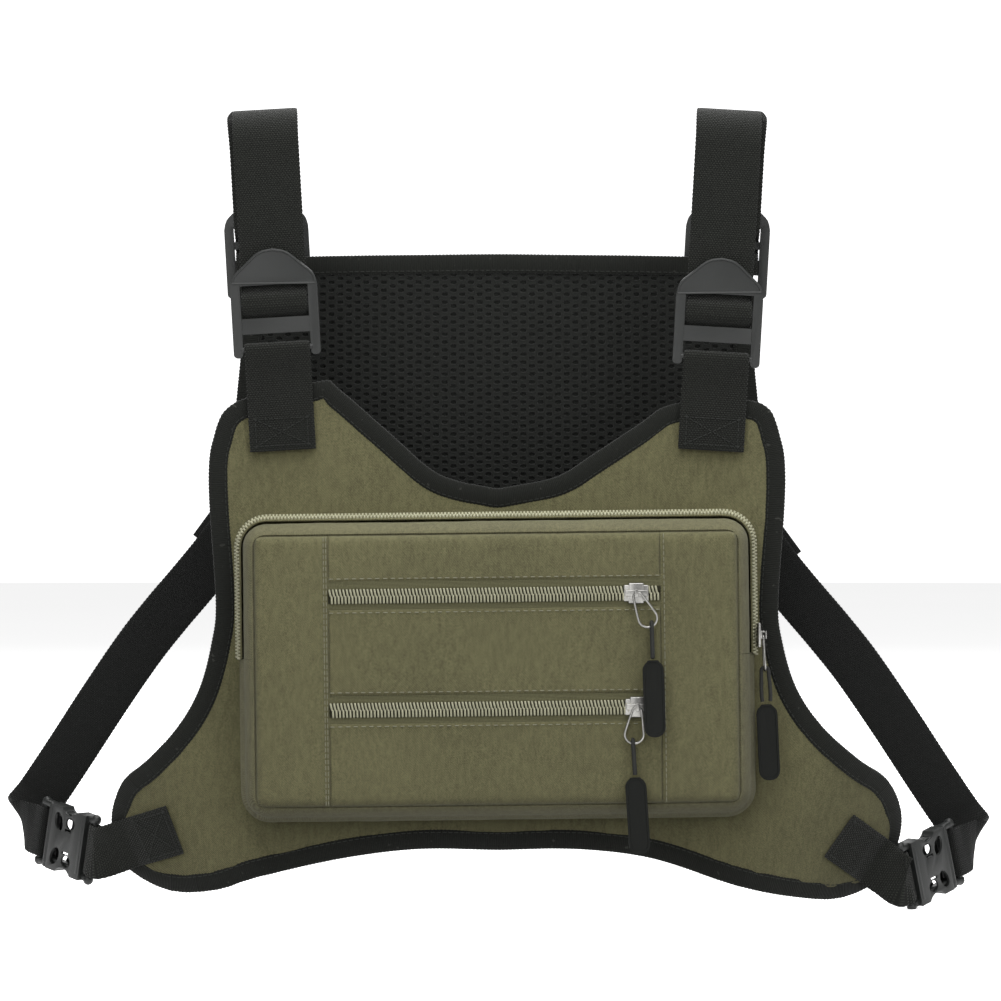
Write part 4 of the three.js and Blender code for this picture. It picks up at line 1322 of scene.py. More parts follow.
@dataclass(frozen=True)
class ZipPull:
    """A slider, with its wire ring, its loop of cord and its rubber tag."""

    name: str
    out: Vector
    cord_diameter: float = 2.3 * MM
    wire: float = 0.65 * MM
    tag_rim: float = 1.15 * MM

    @property
    def body(self) -> str:
        """The body of the hanging pieces."""
        return f"{self.name}_pull"

    def build_cord(self) -> None:
        """Loops the cord from the tag, through the ring and back to the tag."""
        loop = wire_loop(f"{self.name}_pull_cord", 0.8 * MM)
        tag = points_of(frame["nodes"][f"{self.name}_pull_tag"])
        away = np.linalg.norm(loop.at - tag.mean(0), axis=1)
        start = int(away.argmin())
        run = np.roll(loop.at, -start, 0)
        away = np.roll(away, -start)
        cut = away < away[0] + 1.1 * MM
        run = run[~cut]
        line = Path(run, np.tile(loop.side[0], (len(run), 1)))
        obj = sweep(line, round_section(self.cord_diameter / 2, 10))
        deliver(
            obj, f"{self.name}_cord_loop", Finish.CORD, self.body,
            [f"{self.name}_pull_cord"],
        )
        held = self.build_tag()

    def build_ring(self) -> None:
        """Bends the ring from round wire."""
        ring = wire_loop(f"{self.name}_pull_ring", 0.9 * MM)
        obj = sweep(ring, round_section(self.wire, 12))
        deliver(
            obj, f"{self.name}_wire_ring", Finish.METAL, self.body,
            [f"{self.name}_pull_ring"],
        )

    def build_tag(self) -> bpy.types.Object:
        """Moulds the tag, with a raised rim round its sunken faces."""
        node = f"{self.name}_pull_tag"
        obj = copied(node)
        thin = flat_way(node)

        def work() -> None:
            """Draws each face in, and then sinks it."""
            bpy.ops.mesh.inset(thickness=self.tag_rim, use_individual=True)
            bpy.ops.mesh.inset(thickness=0.25 * MM, depth=-0.45 * MM, use_individual=True)

        on_faces(obj, lambda face: abs(face.normal.dot(thin)) > 0.98, work)
        softened(obj, 0.45 * MM)
        return deliver(obj, f"{self.name}_rubber_tag", Finish.RUBBER, self.body, [node])

    def build_slider(self) -> None:
        """Casts the slider: a waisted plate, its side cheeks and the bridge for the ring."""
        node = f"{self.name}_slider"
        low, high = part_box(node)
        points = points_of(frame["nodes"][node])
        out = np.array(self.out)
        up = np.array((0.0, 0.0, 1.0))
        along = unit(np.cross(up, out))
        reach = points @ out
        plate_back = reach.min()
        middle = np.array((low + high) / 2)
        middle = middle - out * (middle @ out) + out * plate_back
        size = [float(np.ptp(points @ way)) for way in (along, up)]
        turn = [tuple(v) for v in (along, -out, up)]

        def block(
            lengths: tuple[float, float, float], at: tuple[float, float, float], edge: float
        ) -> bpy.types.Object:
            """A rounded block on the slider.

            Args:
                lengths: Its sizes along the zip, back and up.
                at: Its middle, in the same directions.
                edge: How wide its rounded edges are.

            Returns:
                The block.
            """
            deselect_all()
            bpy.ops.mesh.primitive_cube_add(size=1)
            made = bpy.context.object
            made.scale = lengths
            at_origin(made)
            softened(made, edge, 3)
            local = points_of(made) + np.array(at)
            place_points(made, middle + local @ np.array(turn))
            return made

        wide, tall = size
        parts = [
            block((wide, 1.7 * MM, tall * 0.8), (0, -0.9 * MM, 0), 0.7 * MM),
            block((wide * 0.62, 1.9 * MM, tall), (0, -1.0 * MM, 0), 0.8 * MM),
            block((wide * 0.9, 1.1 * MM, tall * 0.3), (0, -2.0 * MM, 0), 0.45 * MM),
            block((1.6 * MM, 2.6 * MM, 1.0 * MM), (0, -3.0 * MM, 1.85 * MM), 0.3 * MM),
            block((1.6 * MM, 2.6 * MM, 1.0 * MM), (0, -3.0 * MM, -1.85 * MM), 0.3 * MM),
            block((2.0 * MM, 0.9 * MM, 4.6 * MM), (0, -4.95 * MM, 0), 0.35 * MM),
        ]
        obj = joined(node, parts)
        face_out(obj)
        body = f"{self.name}_slider_body"
        deliver(obj, f"{self.name}_zip_slider", Finish.METAL, body, [node])


# ---------------- front panel


WING_LEAN = math.radians(32)
CURL_START = 0.34604
CURL_REACH = 0.17


def wing_curl(x: np.ndarray, z: np.ndarray) -> np.ndarray:
    """How far back the front panel's wings have curled.

    Args:
        x: Each place's X.
        z: Each place's Z.

    Returns:
        How far back each place lies.
    """
    across, down = math.cos(WING_LEAN), math.sin(WING_LEAN)
    past = np.maximum(np.abs(x) * across - z * down - CURL_START, 0)
    return past**2 / CURL_REACH


def wing_front(at: np.ndarray) -> np.ndarray:
    """The way that the front panel's face looks.

    Args:
        at: The places.

    Returns:
        The direction at each.
    """
    x, z, step = at[:, 0], at[:, 2], 0.5 * MM
    here = wing_curl(x, z)
    slope_x = (wing_curl(x + step, z) - here) / step
    slope_z = (wing_curl(x, z + step) - here) / step
    return unit(np.stack([slope_x, -np.ones(len(at)), slope_z], axis=1))


@dataclass(frozen=True)
class EdgeTape:
    """Ribbed tape folded over a panel's edge and sewn through."""

    node: str
    name: str
    depth: float
    width: float = 11.5 * MM
    step: float = 0.55 * MM
    scallop: Ripple = Ripple(0.16 * MM, 2.1 * MM)
    curled: bool = False

    def _curl(self, loop: np.ndarray) -> np.ndarray:
        """How far back the panel has curled along an outline."""
        return wing_curl(loop[:, 0], loop[:, 2]) if self.curled else np.zeros(len(loop))

    def build(self) -> None:
        """Runs the tape round the panel and sews it down."""
        found = rims(self.node, FORWARD)
        level = [float(np.mean(loop[:, 1] - self._curl(loop))) for loop in found]
        outer, inner = [loop for loop, y in zip(found, level) if y < min(level) + 1 * MM][:2]
        line = smooth_through(outer, True, self.step)
        inside = smooth_through(inner, True, self.step)
        nearest = np.array([np.linalg.norm(inside - p, axis=1).argmin() for p in line])
        inward = inside[nearest] - line
        spread = np.ones(41) / 41
        ring = np.vstack([inward[-20:], inward, inward[:20]])
        inward = unit(np.stack([np.convolve(c, spread, "valid") for c in ring.T], axis=1))
        flat = np.tile((0, -1.0, 0), (len(line), 1))
        face = wing_front(line) if self.curled else flat
        centre = line + inward * self.width / 2 - face * self.depth / 2
        path = Path(centre, inward, closed=True)
        if np.sum(path.normal * face) < 0:
            centre, inward, face = centre[::-1], inward[::-1], face[::-1]
            path = Path(centre, inward, closed=True)
        half, thick = self.width / 2, self.depth / 2
        section = [
            (-half, -0.35 * thick), (-half, 0.35 * thick), (-half + 0.4 * MM, 0.8 * thick),
            (-half + 1.5 * MM, thick), (0, 1.06 * thick), (half - 1.5 * MM, thick),
            (half - 0.3 * MM, 0.9 * thick), (half, 0.72 * thick),
        ]
        section += [(a, -b) for a, b in reversed(section[2:])]
        obj = sweep(path, section, self.scallop)
        deliver(obj, self.name, Finish.TAPE, "vest", [self.node])
        rows = []
        for side in (1, -1):
            seam = path.moved(half - 1.6 * MM, side * thick)
            rows.append(stitched(Path(seam.at, seam.side * side, True), 3.4 * MM))
        deliver(joined("row", rows), f"{self.name}_stitches", Finish.BLACK_STITCH, "vest", ())


@dataclass(frozen=True)
class FrontPanel:
    """The padded front panel: twill outside, lining next to the wearer, taped all round."""

    voxel: float = 3.1 * MM
    swell: float = 1.1 * MM

    def build(self) -> None:
        """Puffs the panel, dresses both faces and tapes its edge."""
        layers = [f"front_panel_{name}" for name in ("lining", "foam", "shell")]
        obj = joined("front", [copied(node, False) for node in layers])
        puffed(obj, self.voxel, self.swell, 3.0)
        rumple(obj, 0.35 * MM, 0.03)
        obj.data.materials.append(Finish.OLIVE.material())
        obj.data.materials.append(Finish.LINING.material())
        for polygon in obj.data.polygons:
            polygon.material_index = int(polygon.normal.y > 0.05)
        deliver(obj, "front_panel", Finish.OLIVE, "vest", layers, 60)
        EdgeTape("front_panel_binding", "front_edge_tape", 7.4 * MM, curled=True).build()


# ---------------- back panel


@dataclass(frozen=True)
class BackPanel:
    """The back panel: two faces of holed mesh on a soft core, with taped edges."""

    column: float = 5.2 * MM
    row: float = 4.77 * MM
    hole: tuple[float, float] = (1.75 * MM, 0.95 * MM)
    pit: float = 1.1 * MM
    margin: float = 7.5 * MM

    def _cell(self) -> Template:
        """One hole in the mesh: its floor, its rounded rim, and the knit round it."""
        deselect_all()
        bpy.ops.mesh.primitive_circle_add(vertices=12, radius=1, fill_type="NGON")
        cell = bpy.context.object

        def work() -> None:
            """Two more rings round the hole."""
            bpy.ops.mesh.inset(thickness=0.3)
            bpy.ops.mesh.inset(thickness=0.3)

        in_edit(cell, work)
        points = points_of(cell)
        reach = np.linalg.norm(points[:, :2], axis=1)
        ranks = np.argsort(np.argsort(-reach, kind="stable"), kind="stable") // 12
        turn = np.rint(np.arctan2(points[:, 1], points[:, 0]) / (math.pi / 6)).astype(int) % 12
        half_w, half_h = self.column / 2, self.row / 2
        square = [
            (1, 0), (1, 0.5), (1, 1), (0, 1), (-1, 1), (-1, 0.5),
            (-1, 0), (-1, -0.5), (-1, -1), (0, -1), (1, -1), (1, -0.5),
        ]
        placed = np.zeros((len(points), 3))
        for k, (rank, which) in enumerate(zip(ranks, turn)):
            edge = np.array([square[which][0] * half_w, square[which][1] * half_h])
            angle = math.atan2(edge[1] / half_h, edge[0] / half_w)
            oval = np.array([self.hole[0] * math.cos(angle), self.hole[1] * math.sin(angle)])
            flat, height = [(edge, 0.0), (oval * 0.72 + edge * 0.28, 0.22 * MM), (oval, -self.pit)][rank]
            placed[k] = (*flat, height)
        faces = [tuple(p.vertices) for p in cell.data.polygons]
        bpy.data.objects.remove(cell)
        return Template(placed, faces)

    def _net(self, outline: np.ndarray, y: float, looking: int) -> bpy.types.Object:
        """One face's net of holes.

        Args:
            outline: The panel's outline.
            y: How far back its face is.
            looking: -1 if it looks forward, 1 if it looks back.

        Returns:
            The net.
        """
        ring = [Vector((p[0], p[2])) for p in outline[::3]]
        inner = self.margin
        places = []
        columns = int(0.34 / self.column)
        for i in range(-columns // 2, columns // 2 + 1):
            for j in range(-50, 50):
                x = i * self.column
                z = -0.19 + (j + 0.5 * (i % 2)) * self.row
                if _inside(ring, x, z) and _clear(outline, x, z, inner):
                    places.append((x, y, z))
        at = np.array(places)
        along = np.tile((float(-looking), 0, 0), (len(at), 1))
        net = self._cell().repeated(at, along, np.tile((0, float(looking), 0), (len(at), 1)))
        face_out_open(net, Vector((0, looking, 0)))
        points = points_of(net)
        points[:, 1] += looking * 0.45 * MM * np.sin(points[:, 0] * 21 + 0.4) * np.cos(
            (points[:, 2] + 0.19) * 26
        )
        place_points(net, points)
        return net

    def build(self) -> None:
        """Makes the core, lays the two nets on it and tapes the edge."""
        outline = smooth_through(rims("back_panel_mesh", FORWARD)[0], True, 2 * MM)
        core = copied("back_panel_mesh", False)
        points = points_of(core)
        middle = (points[:, 1].max() + points[:, 1].min()) / 2
        points[:, 1] = middle + (points[:, 1] - middle) * 0.3
        place_points(core, points)
        modified(core, "REMESH", mode="VOXEL", voxel_size=1.5 * MM)
        # The core's near-black finish is partly painted shade inside the mesh.
        deliver(core, "back_panel_core", Finish.CORE, "vest", ["back_panel_mesh"], 60)
        low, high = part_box("back_panel_mesh")
        for name, y, looking in (("inner", low.y, -1), ("outer", high.y, 1)):
            net = self._net(outline, y, looking)
            deliver(net, f"back_panel_{name}_mesh", Finish.MESH, "vest", (), 60)
        EdgeTape("back_panel_binding", "back_edge_tape", 7.2 * MM).build()


def face_out_open(obj: bpy.types.Object, way: Vector) -> None:
    """Merges an open sheet's doubled points and turns its faces one way.

    Args:
        obj: The sheet.
        way: The way that its faces look.
    """

    def work() -> None:
        """The merge and the turn."""
        bpy.ops.mesh.remove_doubles(threshold=0.02 * MM)
        bpy.ops.mesh.normals_make_consistent(inside=False)

    in_edit(obj, work)
    if sum(p.normal.dot(way) * p.area for p in obj.data.polygons) < 0:
        in_edit(obj, lambda: bpy.ops.mesh.flip_normals())


def _inside(ring: Sequence[Vector], x: float, z: float) -> bool:
    """Tells whether a place is inside a closed outline.

    Args:
        ring: The outline, as X and Z.
        x: The place's X.
        z: The place's Z.

    Returns:
        Whether it is inside.
    """
    found = False
    for a, b in zip(ring, [*ring[1:], ring[0]]):
        if (a.y > z) != (b.y > z) and x < (b.x - a.x) * (z - a.y) / (b.y - a.y) + a.x:
            found = not found
    return found


def _clear(outline: np.ndarray, x: float, z: float, margin: float) -> bool:
    """Whether a place is further than a margin from an outline."""
    return float(np.hypot(outline[:, 0] - x, outline[:, 2] - z).min()) > margin


# ---------------- pocket


POCKET_TILT = math.radians(0.7)
POCKET_CENTRE = -0.323


def from_pocket(obj: bpy.types.Object) -> bpy.types.Object:
    """Moves a piece from the pocket's own directions to the vest's.

    Args:
        obj: The piece.

    Returns:
        The same piece.
    """
    points = points_of(obj)
    cos, sin = math.cos(POCKET_TILT), math.sin(POCKET_TILT)
    x = points[:, 0] * cos - points[:, 2] * sin
    z = points[:, 0] * sin + points[:, 2] * cos + POCKET_CENTRE
    place_points(obj, np.stack([x, points[:, 1], z], axis=1))
    return obj


def rounded_ring(half_width: float, half_height: float, corner: float, step: float) -> np.ndarray:
    """A rounded rectangle in the X-Z plane.

    Args:
        half_width: Half its width.
        half_height: Half its height.
        corner: Its corners' radius.
        step: About how far apart its points are.

    Returns:
        Evenly spaced points round it, anticlockwise from its lower right corner.
    """
    corners = []
    for sx, sz, start in ((1, -1, -90), (1, 1, 0), (-1, 1, 90), (-1, -1, 180)):
        centre = (sx * (half_width - corner), sz * (half_height - corner))
        for k in range(9):
            angle = math.radians(start + 90 * k / 8)
            corners.append(
                (centre[0] + corner * math.cos(angle), 0, centre[1] + corner * math.sin(angle))
            )
    ring = np.array(corners)
    closed = np.vstack([ring, ring[:1]])
    run = np.concatenate([[0], np.cumsum(np.linalg.norm(np.diff(closed, axis=0), axis=1))])
    count = round(run[-1] / step)
    places = np.linspace(0, run[-1], count, endpoint=False)
    return np.stack([np.interp(places, run, column) for column in closed.T], axis=1)


@dataclass(frozen=True)
class Pocket:
    """The box pocket: sewn face panels, two face zips, gusset bands and the main zip."""

    half_width: float = 0.148
    half_height: float = 0.0875
    corner: float = 0.017
    seam_in: float = 10.2 * MM
    back: float = -5.1 * MM
    zip_back: float = -20.1 * MM
    zip_middle: float = -23.3 * MM
    zip_front: float = -26.2 * MM
    zip_lean: float = 0.6
    face: float = -46.1 * MM
    seam_y: float = -43.6 * MM
    fold: float = 7 * MM
    crown: float = 2.2 * MM
    upper_zip: float = 42.4 * MM
    lower_zip: float = -22.2 * MM
    left_seam: float = -95.2 * MM
    right_seam: float = 93.2 * MM
    window_above: float = 8.1 * MM
    window_below: float = 7.6 * MM
    tooth_pitch: float = 1.97 * MM
    cloth: float = 1.3 * MM
    rolled: float = 3.4 * MM

    def depth(self, x: np.ndarray, z: np.ndarray) -> np.ndarray:
        """The face's own Y: a little crowned, and rolled under at its seam.

        Args:
            x: Each place's X in the pocket.
            z: Each place's Z in the pocket.

        Returns:
            Each place's Y.
        """
        u = np.clip(np.abs(x) / (self.half_width - self.seam_in), 0, 1)
        w = np.clip(np.abs(z + 6 * MM) / (self.half_height - self.seam_in + 6 * MM), 0, 1)
        belly = (1 - u**4) * (1 - w**4)
        edge = np.minimum(
            self.half_width - self.seam_in - np.abs(x), self.half_height - self.seam_in - np.abs(z)
        )
        shoulder = np.clip(1 - edge / self.rolled, 0, 1) ** 2
        slack = 0.35 * MM * np.sin(x * 47 + 1.3) * np.sin(z * 61 + 0.6)
        return self.face - self.crown * belly + self.rolled * shoulder + slack * belly

    def _across_fold(self) -> tuple[str, str, Vector, Vector]:
        """The vest, the lid and two places a few millimetres each side of the fold, which are not used to
        bend anything.
        """
        middle = POCKET_CENTRE + self.fold
        low, high = Vector((0, self.face, middle - 7 * MM)), Vector((0, self.face, middle + 7 * MM))
        return ("vest", "pocket_lid", low, high)

    def build_face(self) -> None:
        """Sews the face from five panels, between which the two zips lie."""
        left, right = -self.half_width + self.seam_in, self.half_width - self.seam_in
        bottom, top = -self.half_height + self.seam_in, self.half_height - self.seam_in
        upper_low, upper_high = self.upper_zip - self.window_below, self.upper_zip + self.window_above
        lower_low, lower_high = self.lower_zip - self.window_below, self.lower_zip + self.window_above
        mid = (self.left_seam, self.right_seam)
        bend = self._across_fold()
        plan = {
            "left": (Panel(left, mid[0], bottom, top, corner=6 * MM, corners=(0, 2)), bend),
            "right": (Panel(mid[1], right, bottom, top, corner=6 * MM, corners=(1, 3)), bend),
            "top": (Panel(*mid, upper_high, top), "pocket_lid"),
            "middle": (Panel(*mid, lower_high, upper_low), bend),
            "bottom": (Panel(*mid, bottom, lower_low), "vest"),
        }
        nodes = {"top": ["pocket_cover_upper"], "bottom": ["pocket_cover_lower"]}
        for place, (panel, body) in plan.items():
            obj = from_pocket(panel.made(self.depth))
            deliver(
                obj, f"pocket_face_{place}", Finish.OLIVE, body, nodes.get(place, ()), 60
            )

    def _on_face(self, points: Sequence[tuple[float, float]], out: float = 0.25 * MM) -> Path:
        """A line of stitches' path over the face.

        Args:
            points: Its X and Z in the pocket.
            out: How far it stands proud of the face.

        Returns:
            The path.
        """
        at = np.array(points, float)
        y = self.depth(at[:, 0], at[:, 1]) - out
        line = np.stack([at[:, 0], y, at[:, 1]], axis=1)
        tangent = unit(np.gradient(line, axis=0))
        side = np.cross(np.tile((0, -1.0, 0), (len(line), 1)), tangent)
        path = Path(line, unit(side))
        return path if path.normal[0][1] < 0 else Path(line, -unit(side))

    def build_stitches(self) -> None:
        """Sews the rows beside the zips, the seams and the edge."""
        left, right = self.left_seam + 1.5 * MM, self.right_seam - 1.5 * MM
        across = np.linspace(left, right, 60)
        rows: dict[str, list[bpy.types.Object]] = {"vest": [], "pocket_lid": []}
        for body, zip_z in (("pocket_lid", self.upper_zip), ("vest", self.lower_zip)):
            for away in (10.0 * MM, -9.3 * MM):
                path = self._on_face([(x, zip_z + away) for x in across])
                rows[body].append(stitched(path, 4.4 * MM))
        reach = self.half_height - self.seam_in - 2.4 * MM
        for x in (self.left_seam - 2.6 * MM, self.left_seam - 1.2 * MM, self.right_seam + 2.2 * MM):
            above = np.linspace(self.fold + 1 * MM, reach, 40)
            below = np.linspace(-reach, self.fold - 1 * MM, 40)
            rows["pocket_lid"].append(stitched(self._on_face([(x, z) for z in above]), 3.4 * MM))
            rows["vest"].append(stitched(self._on_face([(x, z) for z in below]), 3.4 * MM))
        for body, made in rows.items():
            obj = from_pocket(joined("rows", made))
            deliver(obj, f"{body}_face_stitches", Finish.STITCH, body, ())

    def _band(self, profile: Sequence[tuple[float, float]], part: str) -> bpy.types.Object:
        """A gusset band round the pocket.

        Args:
            profile: Its middle line's (Y, how far in from the pocket's outline).
            part: "all", "above" or "below" the fold.

        Returns:
            The band, in the vest's directions.
        """
        ring = rounded_ring(self.half_width, self.half_height, self.corner, 2.4 * MM)
        line = Path(ring, np.tile((0, 1.0, 0), (len(ring), 1)), closed=True)
        if part != "all":
            line = self._cut(ring, part)
        deep, drawn = np.array([p[0] for p in profile]), np.array([p[1] for p in profile])
        slope = unit(np.stack([np.gradient(deep), np.gradient(-drawn)], axis=1))
        normal = np.stack([-slope[:, 1], slope[:, 0]], axis=1)
        if normal[0, 1] < 0:
            normal = -normal
        outer = np.stack([deep, -drawn], axis=1)
        inner = outer - normal * self.cloth
        flip = 1.0 if np.sum(line.normal * line.at) > 0 else -1.0
        section = [(a, b * flip) for a, b in [*outer, *inner[::-1]]]
        obj = sweep(line, section)
        return from_pocket(rumple(obj, 0.3 * MM, 0.02))

    def _cut(self, ring: np.ndarray, part: str) -> Path:
        """The outline's run above or below the fold, ending on it.

        Args:
            ring: The whole outline.
            part: "above" or "below".

        Returns:
            The run.
        """
        above = ring[:, 2] > self.fold
        keep = above if part == "above" else ~above
        start = next(i for i in range(len(ring)) if keep[i] and not keep[i - 1])
        run = np.roll(ring, -start, 0)
        run = run[np.roll(keep, -start)]
        end_z = self.fold + (0.1 * MM if part == "above" else -0.1 * MM)
        first, last = run[0].copy(), run[-1].copy()
        first[2] = last[2] = end_z
        run = np.vstack([first, run, last])
        return Path(run, np.tile((0, 1.0, 0), (len(run), 1)))

    def build_gussets(self) -> None:
        """Sews the bands between the panel and the zip, and between the zip and the face."""
        front = [
            (self.zip_front, 3.4 * MM), (self.zip_front - 3 * MM, 3.3 * MM),
            (-33 * MM, 3.7 * MM), (-37 * MM, 4.9 * MM), (-40.5 * MM, 6.8 * MM),
            (-43.2 * MM, 8.7 * MM), (-43.6 * MM, 9.6 * MM),
            (self.seam_y + 1.2 * MM, self.seam_in + 0.2 * MM),
            (self.seam_y + 2.4 * MM, self.seam_in + 1.2 * MM),
        ]
        closed = [(self.zip_back, 0.0), (self.zip_middle, 1.1 * MM), *front]
        rear = [(self.back, 0.3 * MM), (-12 * MM, -0.4 * MM), (self.zip_back, 0.0)]
        lid, low, behind = (
            self._band(*band) for band in ((front, "above"), (closed, "below"), (rear, "all"))
        )
        # Both front gussets take the lighter olive, a painted highlight; the rear gusset keeps the plain
        # olive.
        deliver(lid, "lid_gusset", Finish.BAND, "pocket_lid", (), 60)
        deliver(low, "pocket_gusset", Finish.BAND, "vest", (), 60)
        deliver(
            behind, "rear_gusset", Finish.OLIVE, "vest", ["pocket_rear_gusset"], 60
        )

    def build_main_zip(self) -> None:
        """Lays the main zip's two tapes and rows of teeth round the pocket, above the fold."""
        ring = rounded_ring(self.half_width, self.half_height, self.corner, 1.7 * MM)
        path = self._cut(ring, "above")
        if np.sum(path.normal * path.at) < 0:
            path = path.turned_round()
        lean = path.side * math.cos(self.zip_lean) + path.normal * math.sin(self.zip_lean)
        path = Path(path.at + np.array((0, self.zip_middle, 0)), lean)
        for name, sign, body in (("rear", 1, "vest"), ("front", -1, "pocket_lid")):
            tape = Path(path.at + lean * sign * 1.7 * MM, lean)
            strip = sweep(tape, strap_section(3.3 * MM, 0.9 * MM))
            deliver(
                from_pocket(strip), f"main_zip_{name}_tape", Finish.OLIVE, body,
                [f"main_zip_{name}_half"],
            )
            row = path.fine(self.tooth_pitch)
            shift = 0.5 if sign > 0 else 0.0
            at = row.at + row.tangent * self.tooth_pitch * shift
            at = at + row.side * sign * 0.95 * MM + row.normal * 0.45 * MM
            teeth = Template.capsule(3.0 * MM, 0.6 * MM, 8, 0.3 * MM)
            obj = teeth.repeated(at, row.side * sign, row.normal)
            deliver(from_pocket(obj), f"main_zip_{name}_teeth", Finish.COIL, body, ())

    def build_face_zip(self, name: str, zip_z: float, body: str) -> None:
        """Lays one face zip: two tapes and two rows of teeth that mesh.

        Args:
            name: The zip's name.
            zip_z: Its height on the pocket.
            body: The body it rides on.
        """
        left, right = self.left_seam - 1 * MM, self.right_seam + 1 * MM
        count = 90
        xs = np.linspace(left, right, count)
        for place, sign in (("top", 1), ("bottom", -1)):
            at = np.stack(
                [xs, self.depth(xs, np.full(count, zip_z)) + 1.0 * MM,
                 np.full(count, zip_z + sign * 5.6 * MM)], axis=1,
            )
            tape = Path(at, np.tile((0, 0, 1.0), (count, 1)))
            strip = sweep(tape, strap_section(10.4 * MM, 0.7 * MM))
            self._tape_map(strip, zip_z)
            deliver(
                from_pocket(strip), f"{name}_zip_{place}_tape", Finish.ZIP, body,
                [f"{name}_zip_{place}_half"],
            )
            pitches = np.arange(left + 2 * MM, right - 2 * MM, self.tooth_pitch)
            pitches = pitches + (self.tooth_pitch / 2 if sign < 0 else 0)
            middle = zip_z + sign * 1.95 * MM
            at = np.stack(
                [pitches, self.depth(pitches, np.full(len(pitches), zip_z)) - 0.15 * MM,
                 np.full(len(pitches), middle)], axis=1,
            )
            lean = 0.22 if sign > 0 else 0.03
            along = np.tile((lean, 0, -1.0), (len(at), 1))
            tooth = Template.capsule(4.6 * MM, 0.6 * MM, 8, 0.55 * MM)
            obj = tooth.repeated(at, along, np.tile((0, -1.0, 0), (len(at), 1)))
            deliver(from_pocket(obj), f"{name}_zip_{place}_teeth", Finish.COIL, body, ())

    def _tape_map(self, strip: bpy.types.Object, zip_z: float) -> None:
        """Maps a face zip's tape by its distance from the middle of the zip."""
        points = points_of(strip)
        map_points(strip, np.stack([np.abs(points[:, 2] - zip_z), points[:, 0]], axis=1))

    def build_bags(self) -> None:
        """Hangs the flat bags behind the face zips."""
        for name, body in (("upper", "pocket_lid"), ("lower", "vest")):
            node = f"{name}_pocket_bag"
            low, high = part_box(node)
            centre, size = (low + high) / 2, high - low
            deselect_all()
            bpy.ops.mesh.primitive_grid_add(x_subdivisions=64, y_subdivisions=14, size=2)
            obj = bpy.context.object
            flat = points_of(obj)
            x, z = flat[:, 0] * size.x / 2, flat[:, 1] * (size.z / 2 - 1.2 * MM)
            wave = 0.3 * MM * np.sin(x * 90) * np.cos(z * 120)
            tilt = z + x * math.tan(POCKET_TILT)
            place_points(obj, np.stack([centre.x + x, centre.y + wave, centre.z + tilt], axis=1))
            modified(obj, "SOLIDIFY", thickness=0.8 * MM, offset=0)
            deliver(obj, f"{name}_bag", Finish.LINING, body, [node], 60)

    def build(self) -> None:
        """Builds every piece of the pocket."""
        self.build_face()
        self.build_stitches()
        self.build_gussets()
        self.build_main_zip()
        self.build_face_zip("upper", self.upper_zip, "pocket_lid")
        self.build_face_zip("lower", self.lower_zip, "vest")
        self.build_bags()


# ---------------- straps, locks and buckles


class Side(Enum):
    """The two sides of the vest, as seen from the front."""

    LEFT = "left"
    RIGHT = "right"


@dataclass(frozen=True)
class Strap:
    """A length of webbing along one of the frame's straps."""

    node: str
    width: float
    thickness: float
    finish: Finish = Finish.WEBBING
    step: float = 0.62 * MM
    scallop: Ripple = Ripple(0.14 * MM, 2.5 * MM)

    def line(self) -> Path:
        """The strap's middle line, smooth and closely spaced."""
        return strap_line(self.node).fine(self.step)

    def sewn(
        self,
        name: str,
        body: str | tuple[str, str, Vector, Vector],
        line: Path | None = None,
    ) -> bpy.types.Object:
        """Weaves the strap.

        Args:
            name: The piece's name.
            body: The body that it rides on, or two bodies and two places, which are not used.
            line: The run it takes, if only a part of the whole.

        Returns:
            The piece.
        """
        section = strap_section(self.width, self.thickness)
        obj = sweep(line or self.line(), section, self.scallop)
        return deliver(obj, name, self.finish, body, [self.node], 50)


def strap_rows(line: Path, low: float, high: float, half: float, out: float) -> bpy.types.Object:
    """A box of stitches on a strap, with a cross in it.

    Args:
        line: The strap's line.
        low: Where the box starts along it.
        high: Where the box ends.
        half: Half the box's width.
        out: How far out from the strap's middle the stitches lie, on the side they show.

    Returns:
        The stitches.
    """
    part = line.part(low, high)
    rows = []
    for start, end in ((-half, -half), (half, half), (-half, half), (half, -half)):
        across = np.linspace(start, end, len(part.at))[:, None]
        at = part.at + part.side * across + part.normal * out
        side = part.side * (1 if out > 0 else -1)
        rows.append(stitched(Path(at, side), 3.0 * MM))
    for index in (0, -1):
        at = part.at[index] + part.side[index] * np.linspace(-half, half, 12)[:, None]
        at = at + part.normal[index] * out
        tangent = part.tangent[index] * (-1 if out > 0 else 1)
        rows.append(stitched(Path(at, np.tile(tangent, (12, 1))), 3.0 * MM))
    return joined("rows", rows)


